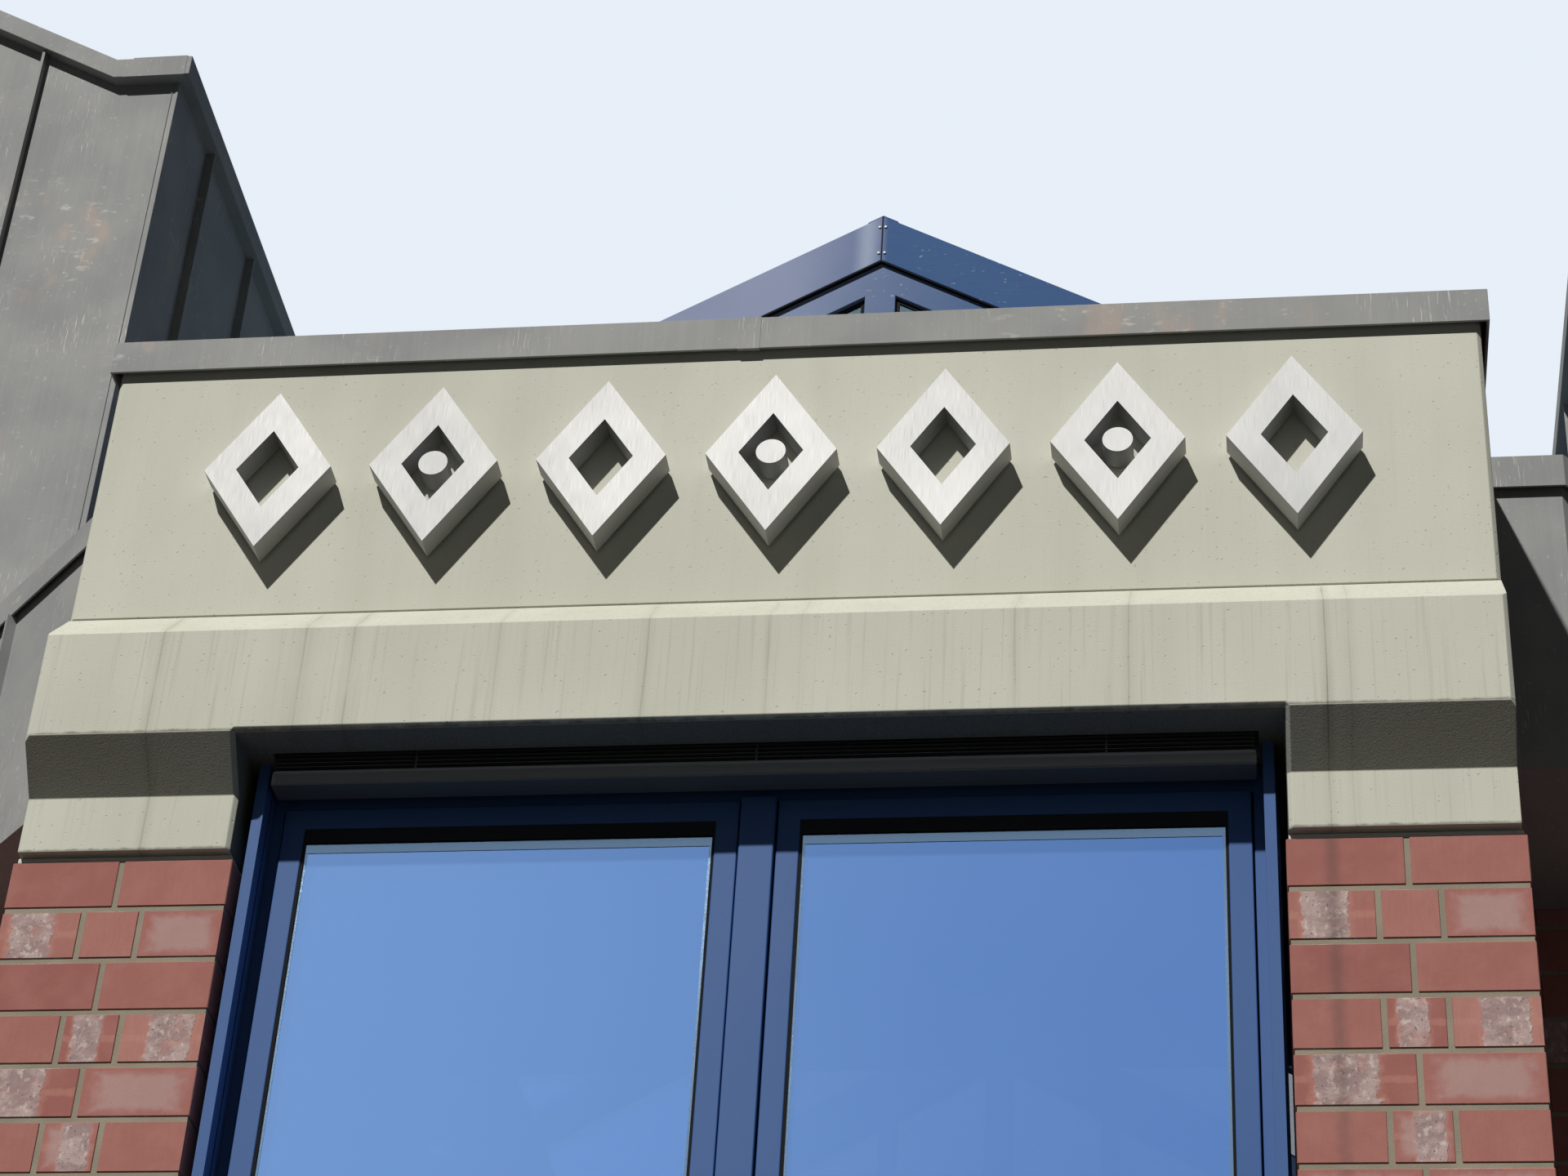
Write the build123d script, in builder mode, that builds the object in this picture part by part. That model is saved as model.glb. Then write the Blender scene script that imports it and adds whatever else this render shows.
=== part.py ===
from build123d import *
import math
import os

os.makedirs("parts", exist_ok=True)

# Heights, in millimetres above the ground, and the storeys
course_height = 125.0
pier_courses = 43
pier_top = course_height * pier_courses
first_floor_level = 2875.0
floor_slab = 60.0
upper_slab = 200.0

# Brick portal, with its front face as the datum for every depth
opening_width = 2240.0
pier_width = 490.0
pier_depth = 365.0
portal_half = opening_width / 2 + pier_width
wall_thickness = 300.0
joint_height = 16.5
joint_recess = 16.0

# Precast lintel, drawn upwards from the joint on the piers
lintel_inset = 11.0
lintel_half = portal_half - lintel_inset
impost_height = 135.5
impost_reach = 17.0
impost_margin = 6.0
splay_height = 105.5
beam_reach = 112.0
beam_height = 268.0
bevel_height = 112.5
panel_reach = 6.0
panel_joint = 4.0
panel_joint_depth = 12.0
panel_height = 713.0
arris = 10.0
chamber_half = 1072.0
chamber_front = 15.0
chamber_depth = 115.0
chamber_height = 180.0

# Zinc copings, folded from thick sheet
coping_height = 93.0
coping_lip = 20.0
coping_sheet = 6.0

# Zinc flanks beside the portal: a short front face, then a splay
flank_setback = 620.0
flank_front = 215.0
flank_angle = 45.0
flank_drop = 557.0
flank_thickness = 150.0
flank_plate = 60.0
flank_seam = 490.0

# Gabled wings, brick below and zinc above
wing_setback = 1250.0
wing_width = 2400.0
wing_inner = 2150.0
brick_recess = 30.0
roof_pitch = 30.0
parapet_width = 200.0
parapet_rise = 3570.0
attic_thickness = 200.0
roof_thickness = 180.0
roof_sheet = 8.0
verge_height = 76.0
verge_lip = 40.0
building_depth = 6900.0
seam_pitch = 500.0
seam_height = 28.0
seam_width = 9.0

# Flat roof over the hall
deck_thickness = 200.0
deck_drop = 344.0

# Glazed gable roof over the hall
skylight_setback = 1646.0
skylight_half = 1700.0
skylight_pitch = 30.0
skylight_rise = 3240.0
skylight_back_gap = 45.0
kerb_thickness = 60.0
kerb_drop = 380.0
verge_panel_height = 175.0
verge_panel_depth = 16.0
gable_depth = 60.0
gable_rim = 236.0
gable_post = 92.0
gable_bars = 2
gable_rail = 90.0
rafter_bays = 5
rafter_width = 50.0
rafter_depth = 110.0
ridge_beam_depth = 150.0
glass_thickness = 24.0
cap_width = 60.0
cap_height = 14.0

# Portal glazing
frame_inset = 10.0
frame_front = 110.0
frame_depth = 70.0
frame_width = 54.0
frame_head = 65.0
frame_head_gap = 5.0
frame_stop = 20.0
mullion_width = 76.0
mullion_front = 87.0
leaf_width = 50.0
leaf_clearance = 4.0
leaf_front = 98.0
leaf_depth = 64.0
leaf_reveal = 8.0
pane_thickness = 28.0
transom_level = 2560.0
transom_height = 140.0
door_sill = 20.0
door_rail_level = 1000.0
door_rail = 110.0
guide_width = 24.0
guide_front = 25.0
guide_inset = 20.0
guide_groove = 8.0
guide_groove_depth = 12.0
blind_half = 1066.0
blind_front = 6.0
blind_depth = 64.0
blind_drop = 67.5
blind_rail = 37.0
blind_pack_inset = 8.0

# Windows of the wings and of the rear wall
window_width = 1260.0
window_height = 1500.0
window_sill_level = 875.0
window_frame = 70.0
window_reveal = 110.0
window_depth = 70.0
sill_height = 50.0
sill_reach = 25.0
side_windows = 2
doorway_width = 1010.0
doorway_height = 2135.0

# Raised ornaments on the panel
ornament_count = 7
ornament_pitch = 390.0
ornament_height = 445.0
ornament_width = 300.0
ornament_stroke = 63.0
ornament_depth = 60.0
ornament_standoff = 10.0
ornament_base = 144.0
ornament_pin = 12.0
disc_radius = 34.0

# Levels worked out from the sizes above
lintel_bottom = pier_top + joint_height
impost_top = lintel_bottom + impost_height
soffit_level = impost_top + splay_height
beam_top = soffit_level + beam_height
panel_bottom = beam_top + bevel_height
coping_bottom = panel_bottom + panel_height
coping_top = coping_bottom + coping_height
wall_head = coping_top - coping_sheet
flank_bottom = pier_top + flank_drop
deck_top = coping_top - deck_drop
deck_bottom = deck_top - deck_thickness
parapet_top = pier_top + parapet_rise
pitch = math.tan(math.radians(roof_pitch))
wing_half = wing_width / 2
wing_centre = wing_inner + wing_half
eave_half = wing_half - parapet_width
ridge_level = parapet_top + eave_half * pitch

# Depths, measured from the middle of the building
front = (beam_reach - building_depth - max(verge_lip, seam_height)) / 2
pier_back = front + pier_depth
flank_face = front + flank_setback
wing_face = front + wing_setback
brick_face = wing_face + brick_recess
rear_face = front + building_depth
rear_inner = rear_face - wall_thickness
skylight_face = front + skylight_setback
skylight_back = rear_inner - skylight_back_gap
skylight_length = skylight_back - skylight_face

# Brick piers, each with a recessed mortar joint on top
with BuildPart() as right_pier:
    with BuildSketch() as pier_plan:
        with Locations((portal_half, front)):
            Rectangle(pier_width, pier_depth, align=(Align.MAX, Align.MIN))
    extrude(amount=pier_top)
    with BuildSketch(Plane.XY.offset(pier_top)):
        add(offset(pier_plan.sketch, -joint_recess, mode=Mode.PRIVATE))
    extrude(amount=joint_height)
right_pier.part.label = "right_pier"
export_step(right_pier.part, "parts/right_pier.step")

with BuildPart() as left_pier:
    mirror(right_pier.part, about=Plane.YZ)
left_pier.part.label = "left_pier"
export_step(left_pier.part, "parts/left_pier.step")

# Return walls that run back from the piers to the wings
with BuildPart() as right_return_wall:
    with BuildSketch():
        with Locations((lintel_half, pier_back)):
            Rectangle(wall_thickness, wing_face - pier_back, align=(Align.MAX, Align.MIN))
    extrude(amount=wall_head)
right_return_wall.part.label = "right_return_wall"
export_step(right_return_wall.part, "parts/right_return_wall.step")

with BuildPart() as left_return_wall:
    mirror(right_return_wall.part, about=Plane.YZ)
left_return_wall.part.label = "left_return_wall"
export_step(left_return_wall.part, "parts/left_return_wall.step")

# Precast lintel: imposts, splay, beam and bevel in one profile, cut by the opening
# and by the chamber of the outside blind
with BuildPart() as portal_lintel:
    with BuildSketch(Plane.YZ):
        with BuildLine():
            Polyline(
                (pier_back, lintel_bottom),
                (front - impost_reach, lintel_bottom),
                (front - impost_reach, impost_top),
                (front - beam_reach, soffit_level),
                (front - beam_reach, beam_top),
                (front - panel_reach, panel_bottom),
                (pier_back, panel_bottom),
                close=True,
            )
        make_face()
    extrude(amount=lintel_half, both=True)
    with BuildSketch(Plane.XZ.offset(-pier_back)):
        with Locations((0, lintel_bottom)):
            Rectangle(
                opening_width + 2 * impost_margin,
                soffit_level - lintel_bottom,
                align=(Align.CENTER, Align.MIN),
            )
    extrude(amount=pier_depth + beam_reach, mode=Mode.SUBTRACT)
    with BuildSketch(Plane.XY.offset(soffit_level)):
        with Locations((0, front - chamber_front)):
            Rectangle(2 * chamber_half, chamber_depth, align=(Align.CENTER, Align.MIN))
    extrude(amount=chamber_height, mode=Mode.SUBTRACT)
    jamb_place = opening_width / 2 + impost_margin
    jamb_edges = portal_lintel.edges().filter_by(
        lambda edge: abs(abs(edge.center().X) - jamb_place) < arris / 2 and edge.center().Y < front
    )
    chamfer(jamb_edges, arris)
    beam_face = portal_lintel.faces().sort_by(Axis.Y)[0]
    chamfer(beam_face.edges().filter_by(Axis.Z), arris)
    beam_face = portal_lintel.faces().sort_by(Axis.Y)[0]
    soffit_edges = beam_face.edges().filter_by(Axis.X).group_by(Axis.Z)[0]
    chamfer(soffit_edges.sort_by(SortBy.LENGTH)[-1], arris)
portal_lintel.part.label = "portal_lintel"
export_step(portal_lintel.part, "parts/portal_lintel.step")

# Panel above the lintel, with a thin joint at its foot
with BuildPart() as sign_panel:
    with BuildSketch(Plane.XY.offset(panel_bottom)):
        with Locations((0, pier_back)):
            Rectangle(
                2 * (lintel_half - panel_joint_depth),
                pier_depth + panel_reach - panel_joint_depth,
                align=(Align.CENTER, Align.MAX),
            )
    extrude(amount=panel_joint)
    with BuildSketch(Plane.XY.offset(panel_bottom + panel_joint)):
        with Locations((0, pier_back)):
            Rectangle(2 * lintel_half, pier_depth + panel_reach, align=(Align.CENTER, Align.MAX))
    extrude(amount=wall_head - panel_bottom - panel_joint)
    panel_front = sign_panel.faces().sort_by(Axis.Y)[0]
    chamfer(panel_front.edges().filter_by(Axis.Z), arris)
sign_panel.part.label = "sign_panel"
export_step(sign_panel.part, "parts/sign_panel.step")

# Zinc coping of the portal: a folded channel over the panel and both return walls
arm_length = wing_face - front + panel_reach
coping_folds = (
    (coping_lip, coping_height, Mode.ADD),
    (coping_lip - coping_sheet, coping_height - coping_sheet, Mode.SUBTRACT),
)
with BuildPart() as portal_coping:
    for lip, height, fold_mode in coping_folds:
        with BuildSketch(Plane.XY.offset(coping_bottom)):
            with Locations((0, front - panel_reach - lip)):
                Rectangle(
                    2 * (lintel_half + lip),
                    arm_length + lip,
                    align=(Align.CENTER, Align.MIN),
                )
            with Locations((0, pier_back + lip)):
                Rectangle(
                    2 * (lintel_half - wall_thickness - lip),
                    arm_length,
                    align=(Align.CENTER, Align.MIN),
                    mode=Mode.SUBTRACT,
                )
        extrude(amount=height, mode=fold_mode)
portal_coping.part.label = "portal_coping"
export_step(portal_coping.part, "parts/portal_coping.step")

# Zinc flanks: a plan line that leaves the portal, then turns back at the splay
corner_x = lintel_half + flank_front
turn = math.radians(flank_angle)
flank_seam_place = (
    corner_x + flank_seam * math.cos(turn),
    flank_face + flank_seam * math.sin(turn),
)


def flank_plan(inset, start_x, back_y):
    """Corners of the flank's plan, with its front line moved inwards by inset."""
    bend_x = corner_x - inset * math.tan(turn / 2)
    bend_y = flank_face + inset
    end_x = bend_x + (back_y - bend_y) / math.tan(turn)
    return [(start_x, bend_y), (bend_x, bend_y), (end_x, back_y), (start_x, back_y)]


with BuildPart() as right_flank:
    with BuildSketch(Plane.XY.offset(flank_bottom)):
        with BuildLine():
            Polyline(*flank_plan(0, lintel_half, wing_face), close=True)
        make_face()
    extrude(amount=wall_head - flank_bottom)
    with BuildSketch(Plane.XY.offset(flank_bottom)):
        with Locations(flank_seam_place):
            Rectangle(seam_width, 2 * seam_height, rotation=flank_angle)
    extrude(amount=coping_bottom - flank_bottom)
    with BuildSketch(Plane.XY.offset(flank_bottom + flank_plate)):
        with BuildLine():
            Polyline(*flank_plan(flank_thickness, lintel_half, wing_face - flank_plate), close=True)
        make_face()
    extrude(amount=deck_bottom - flank_bottom - flank_plate, mode=Mode.SUBTRACT)
    with BuildSketch(Plane.XY.offset(deck_top)):
        with BuildLine():
            Polyline(*flank_plan(flank_thickness, lintel_half, wing_face), close=True)
        make_face()
    extrude(amount=wall_head - deck_top, mode=Mode.SUBTRACT)
    with BuildSketch(Plane.XY.offset(coping_bottom)):
        with Locations((lintel_half, flank_face)):
            Rectangle(coping_lip, wing_face - flank_face, align=Align.MIN)
    extrude(amount=coping_height, mode=Mode.SUBTRACT)
right_flank.part.label = "right_flank"
export_step(right_flank.part, "parts/right_flank.step")

with BuildPart() as left_flank:
    mirror(right_flank.part, about=Plane.YZ)
left_flank.part.label = "left_flank"
export_step(left_flank.part, "parts/left_flank.step")

# Flank copings, the same folded channel along the front line of each flank
coping_start = lintel_half + coping_lip
with BuildPart() as right_flank_coping:
    for lip, height, fold_mode in coping_folds:
        with BuildSketch(Plane.XY.offset(coping_bottom)):
            with BuildLine():
                Polyline(*flank_plan(-lip, coping_start, wing_face), close=True)
            make_face()
            with BuildLine():
                Polyline(*flank_plan(flank_thickness + lip, coping_start, wing_face), close=True)
            make_face(mode=Mode.SUBTRACT)
        extrude(amount=height, mode=fold_mode)
right_flank_coping.part.label = "right_flank_coping"
export_step(right_flank_coping.part, "parts/right_flank_coping.step")

with BuildPart() as left_flank_coping:
    mirror(right_flank_coping.part, about=Plane.YZ)
left_flank_coping.part.label = "left_flank_coping"
export_step(left_flank_coping.part, "parts/left_flank_coping.step")

# Brick storeys of the wings: the front walls, joined to the link walls behind the recess
wing_length = rear_face - brick_face
window_levels = [window_sill_level, first_floor_level + window_sill_level]
side_step = wing_length / side_windows
side_centres = [brick_face + side_step * (number + 0.5) for number in range(side_windows)]
outer_x = wing_inner + wing_width
brick_outer = outer_x - brick_recess
front_windows = [(wing_centre, level) for level in window_levels]
side_places = [(centre, level) for centre in side_centres for level in window_levels]
with BuildPart() as right_wing_front:
    with BuildSketch():
        with Locations((wing_inner, brick_face)):
            Rectangle(wing_width - brick_recess, wall_thickness, align=Align.MIN)
    extrude(amount=flank_bottom)
    with BuildSketch():
        with Locations((lintel_half - wall_thickness, wing_face)):
            Rectangle(
                wing_inner - lintel_half + wall_thickness,
                brick_recess + wall_thickness,
                align=Align.MIN,
            )
    extrude(amount=deck_bottom)
    with BuildSketch(Plane.XZ.offset(-brick_face)):
        with Locations(*front_windows):
            Rectangle(window_width, window_height, align=(Align.CENTER, Align.MIN))
    extrude(amount=-wall_thickness, mode=Mode.SUBTRACT)
right_wing_front.part.label = "right_wing_front"
export_step(right_wing_front.part, "parts/right_wing_front.step")

with BuildPart() as left_wing_front:
    mirror(right_wing_front.part, about=Plane.YZ)
left_wing_front.part.label = "left_wing_front"
export_step(left_wing_front.part, "parts/left_wing_front.step")

# Side walls of the wings: the outer one with its windows, the inner one with a doorway
side_start = brick_face + wall_thickness
side_length = rear_inner - side_start
side_walls = (
    (brick_outer - wall_thickness, side_places, window_width, window_height),
    (wing_inner, [(side_centres[0], floor_slab)], doorway_width, doorway_height),
)
with BuildPart() as right_wing_sides:
    for plane_x, places, cut_width, cut_height in side_walls:
        with BuildSketch(Plane.YZ.offset(plane_x)):
            with Locations((side_start, 0)):
                Rectangle(side_length, flank_bottom, align=Align.MIN)
            with Locations(*places):
                Rectangle(
                    cut_width,
                    cut_height,
                    align=(Align.CENTER, Align.MIN),
                    mode=Mode.SUBTRACT,
                )
        extrude(amount=wall_thickness)
right_wing_sides.part.label = "right_wing_sides"
export_step(right_wing_sides.part, "parts/right_wing_sides.step")

with BuildPart() as left_wing_sides:
    mirror(right_wing_sides.part, about=Plane.YZ)
left_wing_sides.part.label = "left_wing_sides"
export_step(left_wing_sides.part, "parts/left_wing_sides.step")

# Zinc attic of each wing: gable walls and side walls, hollow below the roof
attic_length = rear_face - wing_face
attic_inner = wing_half - attic_thickness
shell_drop = roof_thickness / math.cos(math.radians(roof_pitch))
eave_inner = parapet_top - shell_drop + (eave_half - attic_inner) * pitch
gable_outline = [
    (wing_inner, flank_bottom),
    (wing_inner, parapet_top),
    (wing_inner + parapet_width, parapet_top),
    (wing_centre, ridge_level),
    (outer_x - parapet_width, parapet_top),
    (outer_x, parapet_top),
    (outer_x, flank_bottom),
]
front_seams = int(wing_width // seam_pitch)
side_seams = int(attic_length // seam_pitch)
with BuildPart() as right_wing_attic:
    with BuildSketch(Plane.XZ.offset(-wing_face)):
        with BuildLine():
            Polyline(*gable_outline, close=True)
        make_face()
    extrude(amount=-attic_length)
    with BuildSketch(Plane.XZ.offset(-wing_face - attic_thickness)):
        with BuildLine():
            Polyline(
                (wing_centre - attic_inner, flank_bottom),
                (wing_centre - attic_inner, eave_inner),
                (wing_centre, ridge_level - shell_drop),
                (wing_centre + attic_inner, eave_inner),
                (wing_centre + attic_inner, flank_bottom),
                close=True,
            )
        make_face()
    extrude(amount=2 * attic_thickness - attic_length, mode=Mode.SUBTRACT)
    for plane_y in (wing_face, rear_face + seam_height):
        with BuildSketch(Plane.XZ.offset(-plane_y)):
            with Locations((wing_centre, flank_bottom)):
                with GridLocations(seam_pitch, 1, front_seams, 1):
                    Rectangle(seam_width, 2 * (ridge_level - flank_bottom))
            with BuildLine():
                Polyline(*gable_outline, close=True)
            make_face(mode=Mode.INTERSECT)
        extrude(amount=seam_height)
    with BuildSketch(Plane.YZ.offset(wing_inner - seam_height)):
        with Locations((wing_face + attic_length / 2, coping_top)):
            with GridLocations(seam_pitch, 1, side_seams, 1):
                Rectangle(
                    seam_width,
                    parapet_top - coping_top,
                    align=(Align.CENTER, Align.MIN),
                )
    extrude(amount=seam_height)
    with BuildSketch(Plane.YZ.offset(outer_x)):
        with Locations((wing_face + attic_length / 2, flank_bottom)):
            with GridLocations(seam_pitch, 1, side_seams, 1):
                Rectangle(
                    seam_width,
                    parapet_top - flank_bottom,
                    align=(Align.CENTER, Align.MIN),
                )
    extrude(amount=seam_height)
right_wing_attic.part.label = "right_wing_attic"
export_step(right_wing_attic.part, "parts/right_wing_attic.step")

with BuildPart() as left_wing_attic:
    mirror(right_wing_attic.part, about=Plane.YZ)
left_wing_attic.part.label = "left_wing_attic"
export_step(left_wing_attic.part, "parts/left_wing_attic.step")

# Copings along the gables and the side parapets of each wing
verge_line = [
    (wing_inner - verge_lip, parapet_top),
    (wing_inner + parapet_width, parapet_top),
    (wing_centre, ridge_level),
    (outer_x - parapet_width, parapet_top),
    (outer_x + verge_lip, parapet_top),
]
verge_over = [(across, level + verge_height) for across, level in reversed(verge_line)]
verge_span = attic_thickness + verge_lip
with BuildPart() as right_wing_coping:
    for plane_y in (wing_face - verge_lip, rear_face - attic_thickness):
        with BuildSketch(Plane.XZ.offset(-plane_y)):
            with BuildLine():
                Polyline(*verge_line, *verge_over, close=True)
            make_face()
        extrude(amount=-verge_span)
    with BuildSketch(Plane.XY.offset(parapet_top)):
        with Locations((wing_inner - verge_lip, wing_face)):
            Rectangle(parapet_width + verge_lip, attic_length, align=Align.MIN)
        with Locations((outer_x + verge_lip, wing_face)):
            Rectangle(parapet_width + verge_lip, attic_length, align=(Align.MAX, Align.MIN))
    extrude(amount=verge_height)
right_wing_coping.part.label = "right_wing_coping"
export_step(right_wing_coping.part, "parts/right_wing_coping.step")

with BuildPart() as left_wing_coping:
    mirror(right_wing_coping.part, about=Plane.YZ)
left_wing_coping.part.label = "left_wing_coping"
export_step(left_wing_coping.part, "parts/left_wing_coping.step")

# Floors: the hall's slab, then the wings' slabs and upper floors
with BuildPart() as floors:
    with BuildSketch():
        with Locations((0, front)):
            Rectangle(opening_width, pier_depth, align=(Align.CENTER, Align.MIN))
        with Locations((0, pier_back)):
            Rectangle(
                2 * (lintel_half - wall_thickness),
                side_start - pier_back,
                align=(Align.CENTER, Align.MIN),
            )
        with Locations((0, side_start)):
            Rectangle(2 * wing_inner, side_length, align=(Align.CENTER, Align.MIN))
    extrude(amount=floor_slab)
    with BuildSketch() as wing_floor_plan:
        with Locations((wing_inner + wall_thickness, side_start)):
            Rectangle(
                wing_width - brick_recess - 2 * wall_thickness,
                side_length,
                align=Align.MIN,
            )
        mirror(about=Plane.YZ)
    extrude(amount=floor_slab)
    for level in (first_floor_level, flank_bottom):
        with BuildSketch(Plane.XY.offset(level - upper_slab)):
            add(wing_floor_plan.sketch)
        extrude(amount=upper_slab)
floors.part.label = "floors"
export_step(floors.part, "parts/floors.step")

# Rear wall of the hall and both wings, with the windows repeated
rear_step = 2 * wing_inner / side_windows
rear_centres = [rear_step * (number + 0.5) - wing_inner for number in range(side_windows)]
rear_columns = [-wing_centre, *rear_centres, wing_centre]
rear_places = [(centre, level) for centre in rear_columns for level in window_levels]
with BuildPart() as rear_wall:
    with BuildSketch():
        with Locations((0, rear_inner)):
            Rectangle(2 * brick_outer, wall_thickness, align=(Align.CENTER, Align.MIN))
    extrude(amount=flank_bottom)
    with BuildSketch():
        with Locations((0, rear_inner)):
            Rectangle(2 * wing_inner, wall_thickness, align=(Align.CENTER, Align.MIN))
    extrude(amount=wall_head)
    with BuildSketch(Plane.XZ.offset(-rear_inner)):
        with Locations(*rear_places):
            Rectangle(window_width, window_height, align=(Align.CENTER, Align.MIN))
    extrude(amount=-wall_thickness, mode=Mode.SUBTRACT)
rear_wall.part.label = "rear_wall"
export_step(rear_wall.part, "parts/rear_wall.step")

with BuildPart() as rear_coping:
    with BuildSketch(Plane.YZ):
        with Locations((rear_inner - coping_lip, coping_bottom)):
            Rectangle(wall_thickness + 2 * coping_lip, coping_height, align=Align.MIN)
        with Locations((rear_inner - coping_lip + coping_sheet, coping_bottom)):
            Rectangle(
                wall_thickness + 2 * (coping_lip - coping_sheet),
                coping_height - coping_sheet,
                align=Align.MIN,
                mode=Mode.SUBTRACT,
            )
    extrude(amount=wing_inner, both=True)
rear_coping.part.label = "rear_coping"
export_step(rear_coping.part, "parts/rear_coping.step")

# Flat roof of the hall around the skylight
with BuildPart() as roof_deck:
    with BuildSketch(Plane.XY.offset(deck_bottom)):
        with Locations((0, pier_back)):
            Rectangle(
                2 * (lintel_half - wall_thickness),
                rear_inner - pier_back,
                align=(Align.CENTER, Align.MIN),
            )
        with Locations((0, wing_face)):
            Rectangle(2 * wing_inner, rear_inner - wing_face, align=(Align.CENTER, Align.MIN))
        with Locations((0, skylight_face)):
            Rectangle(
                2 * skylight_half,
                skylight_length,
                align=(Align.CENTER, Align.MIN),
                mode=Mode.SUBTRACT,
            )
    extrude(amount=deck_thickness)
roof_deck.part.label = "roof_deck"
export_step(roof_deck.part, "parts/roof_deck.step")

# Skylight: heights of its slopes, measured at the middle and falling to both sides
slope = math.tan(math.radians(skylight_pitch))
skylight_top = pier_top + skylight_rise
cap_level = skylight_top - cap_height
glass_top = cap_level
glass_rise = glass_thickness / math.cos(math.radians(skylight_pitch))
rafter_rise = rafter_depth / math.cos(math.radians(skylight_pitch))
glass_under = glass_top - glass_rise
kerb_top = glass_under - rafter_rise - skylight_half * slope
kerb_bottom = pier_top + kerb_drop


def slope_band(half, top, thickness):
    """Corners of a gable-shaped band, thickness high, whose outline peaks at top."""
    drop = half * slope
    return [
        (-half, top - drop),
        (0, top),
        (half, top - drop),
        (half, top - drop - thickness),
        (0, top - thickness),
        (-half, top - drop - thickness),
    ]


# Upstand walls under the glass roof
with BuildPart() as skylight_kerb:
    with BuildSketch(Plane.XY.offset(kerb_bottom)):
        with Locations((0, skylight_face)):
            Rectangle(2 * skylight_half, skylight_length, align=(Align.CENTER, Align.MIN))
        with Locations((0, skylight_face + kerb_thickness)):
            Rectangle(
                2 * (skylight_half - kerb_thickness),
                skylight_length - 2 * kerb_thickness,
                align=(Align.CENTER, Align.MIN),
                mode=Mode.SUBTRACT,
            )
    extrude(amount=kerb_top - kerb_bottom)
skylight_kerb.part.label = "skylight_kerb"
export_step(skylight_kerb.part, "parts/skylight_kerb.step")

# Gable frames at both ends: a rim, a middle post and bars, with the panes set in
rim_inner = glass_under - gable_rim
pane_foot = kerb_top + gable_rail
pane_half = (rim_inner - pane_foot) / slope
bar_step = pane_half / (gable_bars + 1)
bar_places = [bar_step * (number + 1) for number in range(gable_bars)]
post_half = gable_post / 2


def gable_bar(centre, half):
    """Corners of an upright bar that reaches from the rail to the sloping rim."""
    left, right = centre - half, centre + half
    return [
        (left, pane_foot),
        (right, pane_foot),
        (right, rim_inner - abs(right) * slope),
        (left, rim_inner - abs(left) * slope),
    ]


with BuildPart() as skylight_gables:
    for plane_y in (skylight_face, skylight_back - gable_depth):
        with BuildSketch(Plane.XZ.offset(-plane_y)):
            with BuildLine():
                Polyline(
                    (-skylight_half, kerb_top),
                    (-skylight_half, glass_under - skylight_half * slope),
                    (0, glass_under),
                    (skylight_half, glass_under - skylight_half * slope),
                    (skylight_half, kerb_top),
                    close=True,
                )
            make_face()
            with BuildLine():
                Polyline((-pane_half, pane_foot), (0, rim_inner), (pane_half, pane_foot), close=True)
            make_face(mode=Mode.SUBTRACT)
            with BuildLine():
                Polyline(
                    (-post_half, pane_foot),
                    (post_half, pane_foot),
                    (post_half, rim_inner - post_half * slope),
                    (0, rim_inner),
                    (-post_half, rim_inner - post_half * slope),
                    close=True,
                )
            make_face()
            for centre in bar_places:
                for side in (-1, 1):
                    with BuildLine():
                        Polyline(*gable_bar(side * centre, rafter_width / 2), close=True)
                    make_face()
        extrude(amount=-gable_depth)
skylight_gables.part.label = "skylight_gables"
export_step(skylight_gables.part, "parts/skylight_gables.step")

with BuildPart() as skylight_gable_panes:
    for plane_y in (skylight_face, skylight_back - gable_depth):
        with BuildSketch(Plane.XZ.offset(-plane_y - (gable_depth - glass_thickness) / 2)):
            with BuildLine():
                Polyline((-pane_half, pane_foot), (0, rim_inner), (pane_half, pane_foot), close=True)
            make_face()
            with Locations((0, pane_foot)):
                Rectangle(
                    gable_post,
                    rim_inner - pane_foot,
                    align=(Align.CENTER, Align.MIN),
                    mode=Mode.SUBTRACT,
                )
            with Locations(*[(side * centre, pane_foot) for centre in bar_places for side in (-1, 1)]):
                Rectangle(
                    rafter_width,
                    rim_inner - pane_foot,
                    align=(Align.CENTER, Align.MIN),
                    mode=Mode.SUBTRACT,
                )
        extrude(amount=-glass_thickness)
skylight_gable_panes.part.label = "skylight_gable_panes"
export_step(skylight_gable_panes.part, "parts/skylight_gable_panes.step")

# Rafters between the gables, with a ridge beam that joins them
rafter_space = skylight_length - 2 * gable_depth
rafter_step = rafter_space / rafter_bays
rafter_starts = [
    skylight_face + gable_depth + rafter_step * (number + 1) - rafter_width / 2
    for number in range(rafter_bays - 1)
]
with BuildPart() as skylight_rafters:
    for plane_y in rafter_starts:
        with BuildSketch(Plane.XZ.offset(-plane_y)):
            with BuildLine():
                Polyline(*slope_band(skylight_half, glass_under, rafter_rise), close=True)
            make_face()
        extrude(amount=-rafter_width)
    with BuildSketch(Plane.XZ.offset(-skylight_face - gable_depth)):
        with BuildLine():
            Polyline(
                (-rafter_width, glass_under - rafter_width * slope),
                (0, glass_under),
                (rafter_width, glass_under - rafter_width * slope),
                (rafter_width, glass_under - ridge_beam_depth),
                (-rafter_width, glass_under - ridge_beam_depth),
                close=True,
            )
        make_face()
    extrude(amount=-rafter_space)
skylight_rafters.part.label = "skylight_rafters"
export_step(skylight_rafters.part, "parts/skylight_rafters.step")

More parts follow.
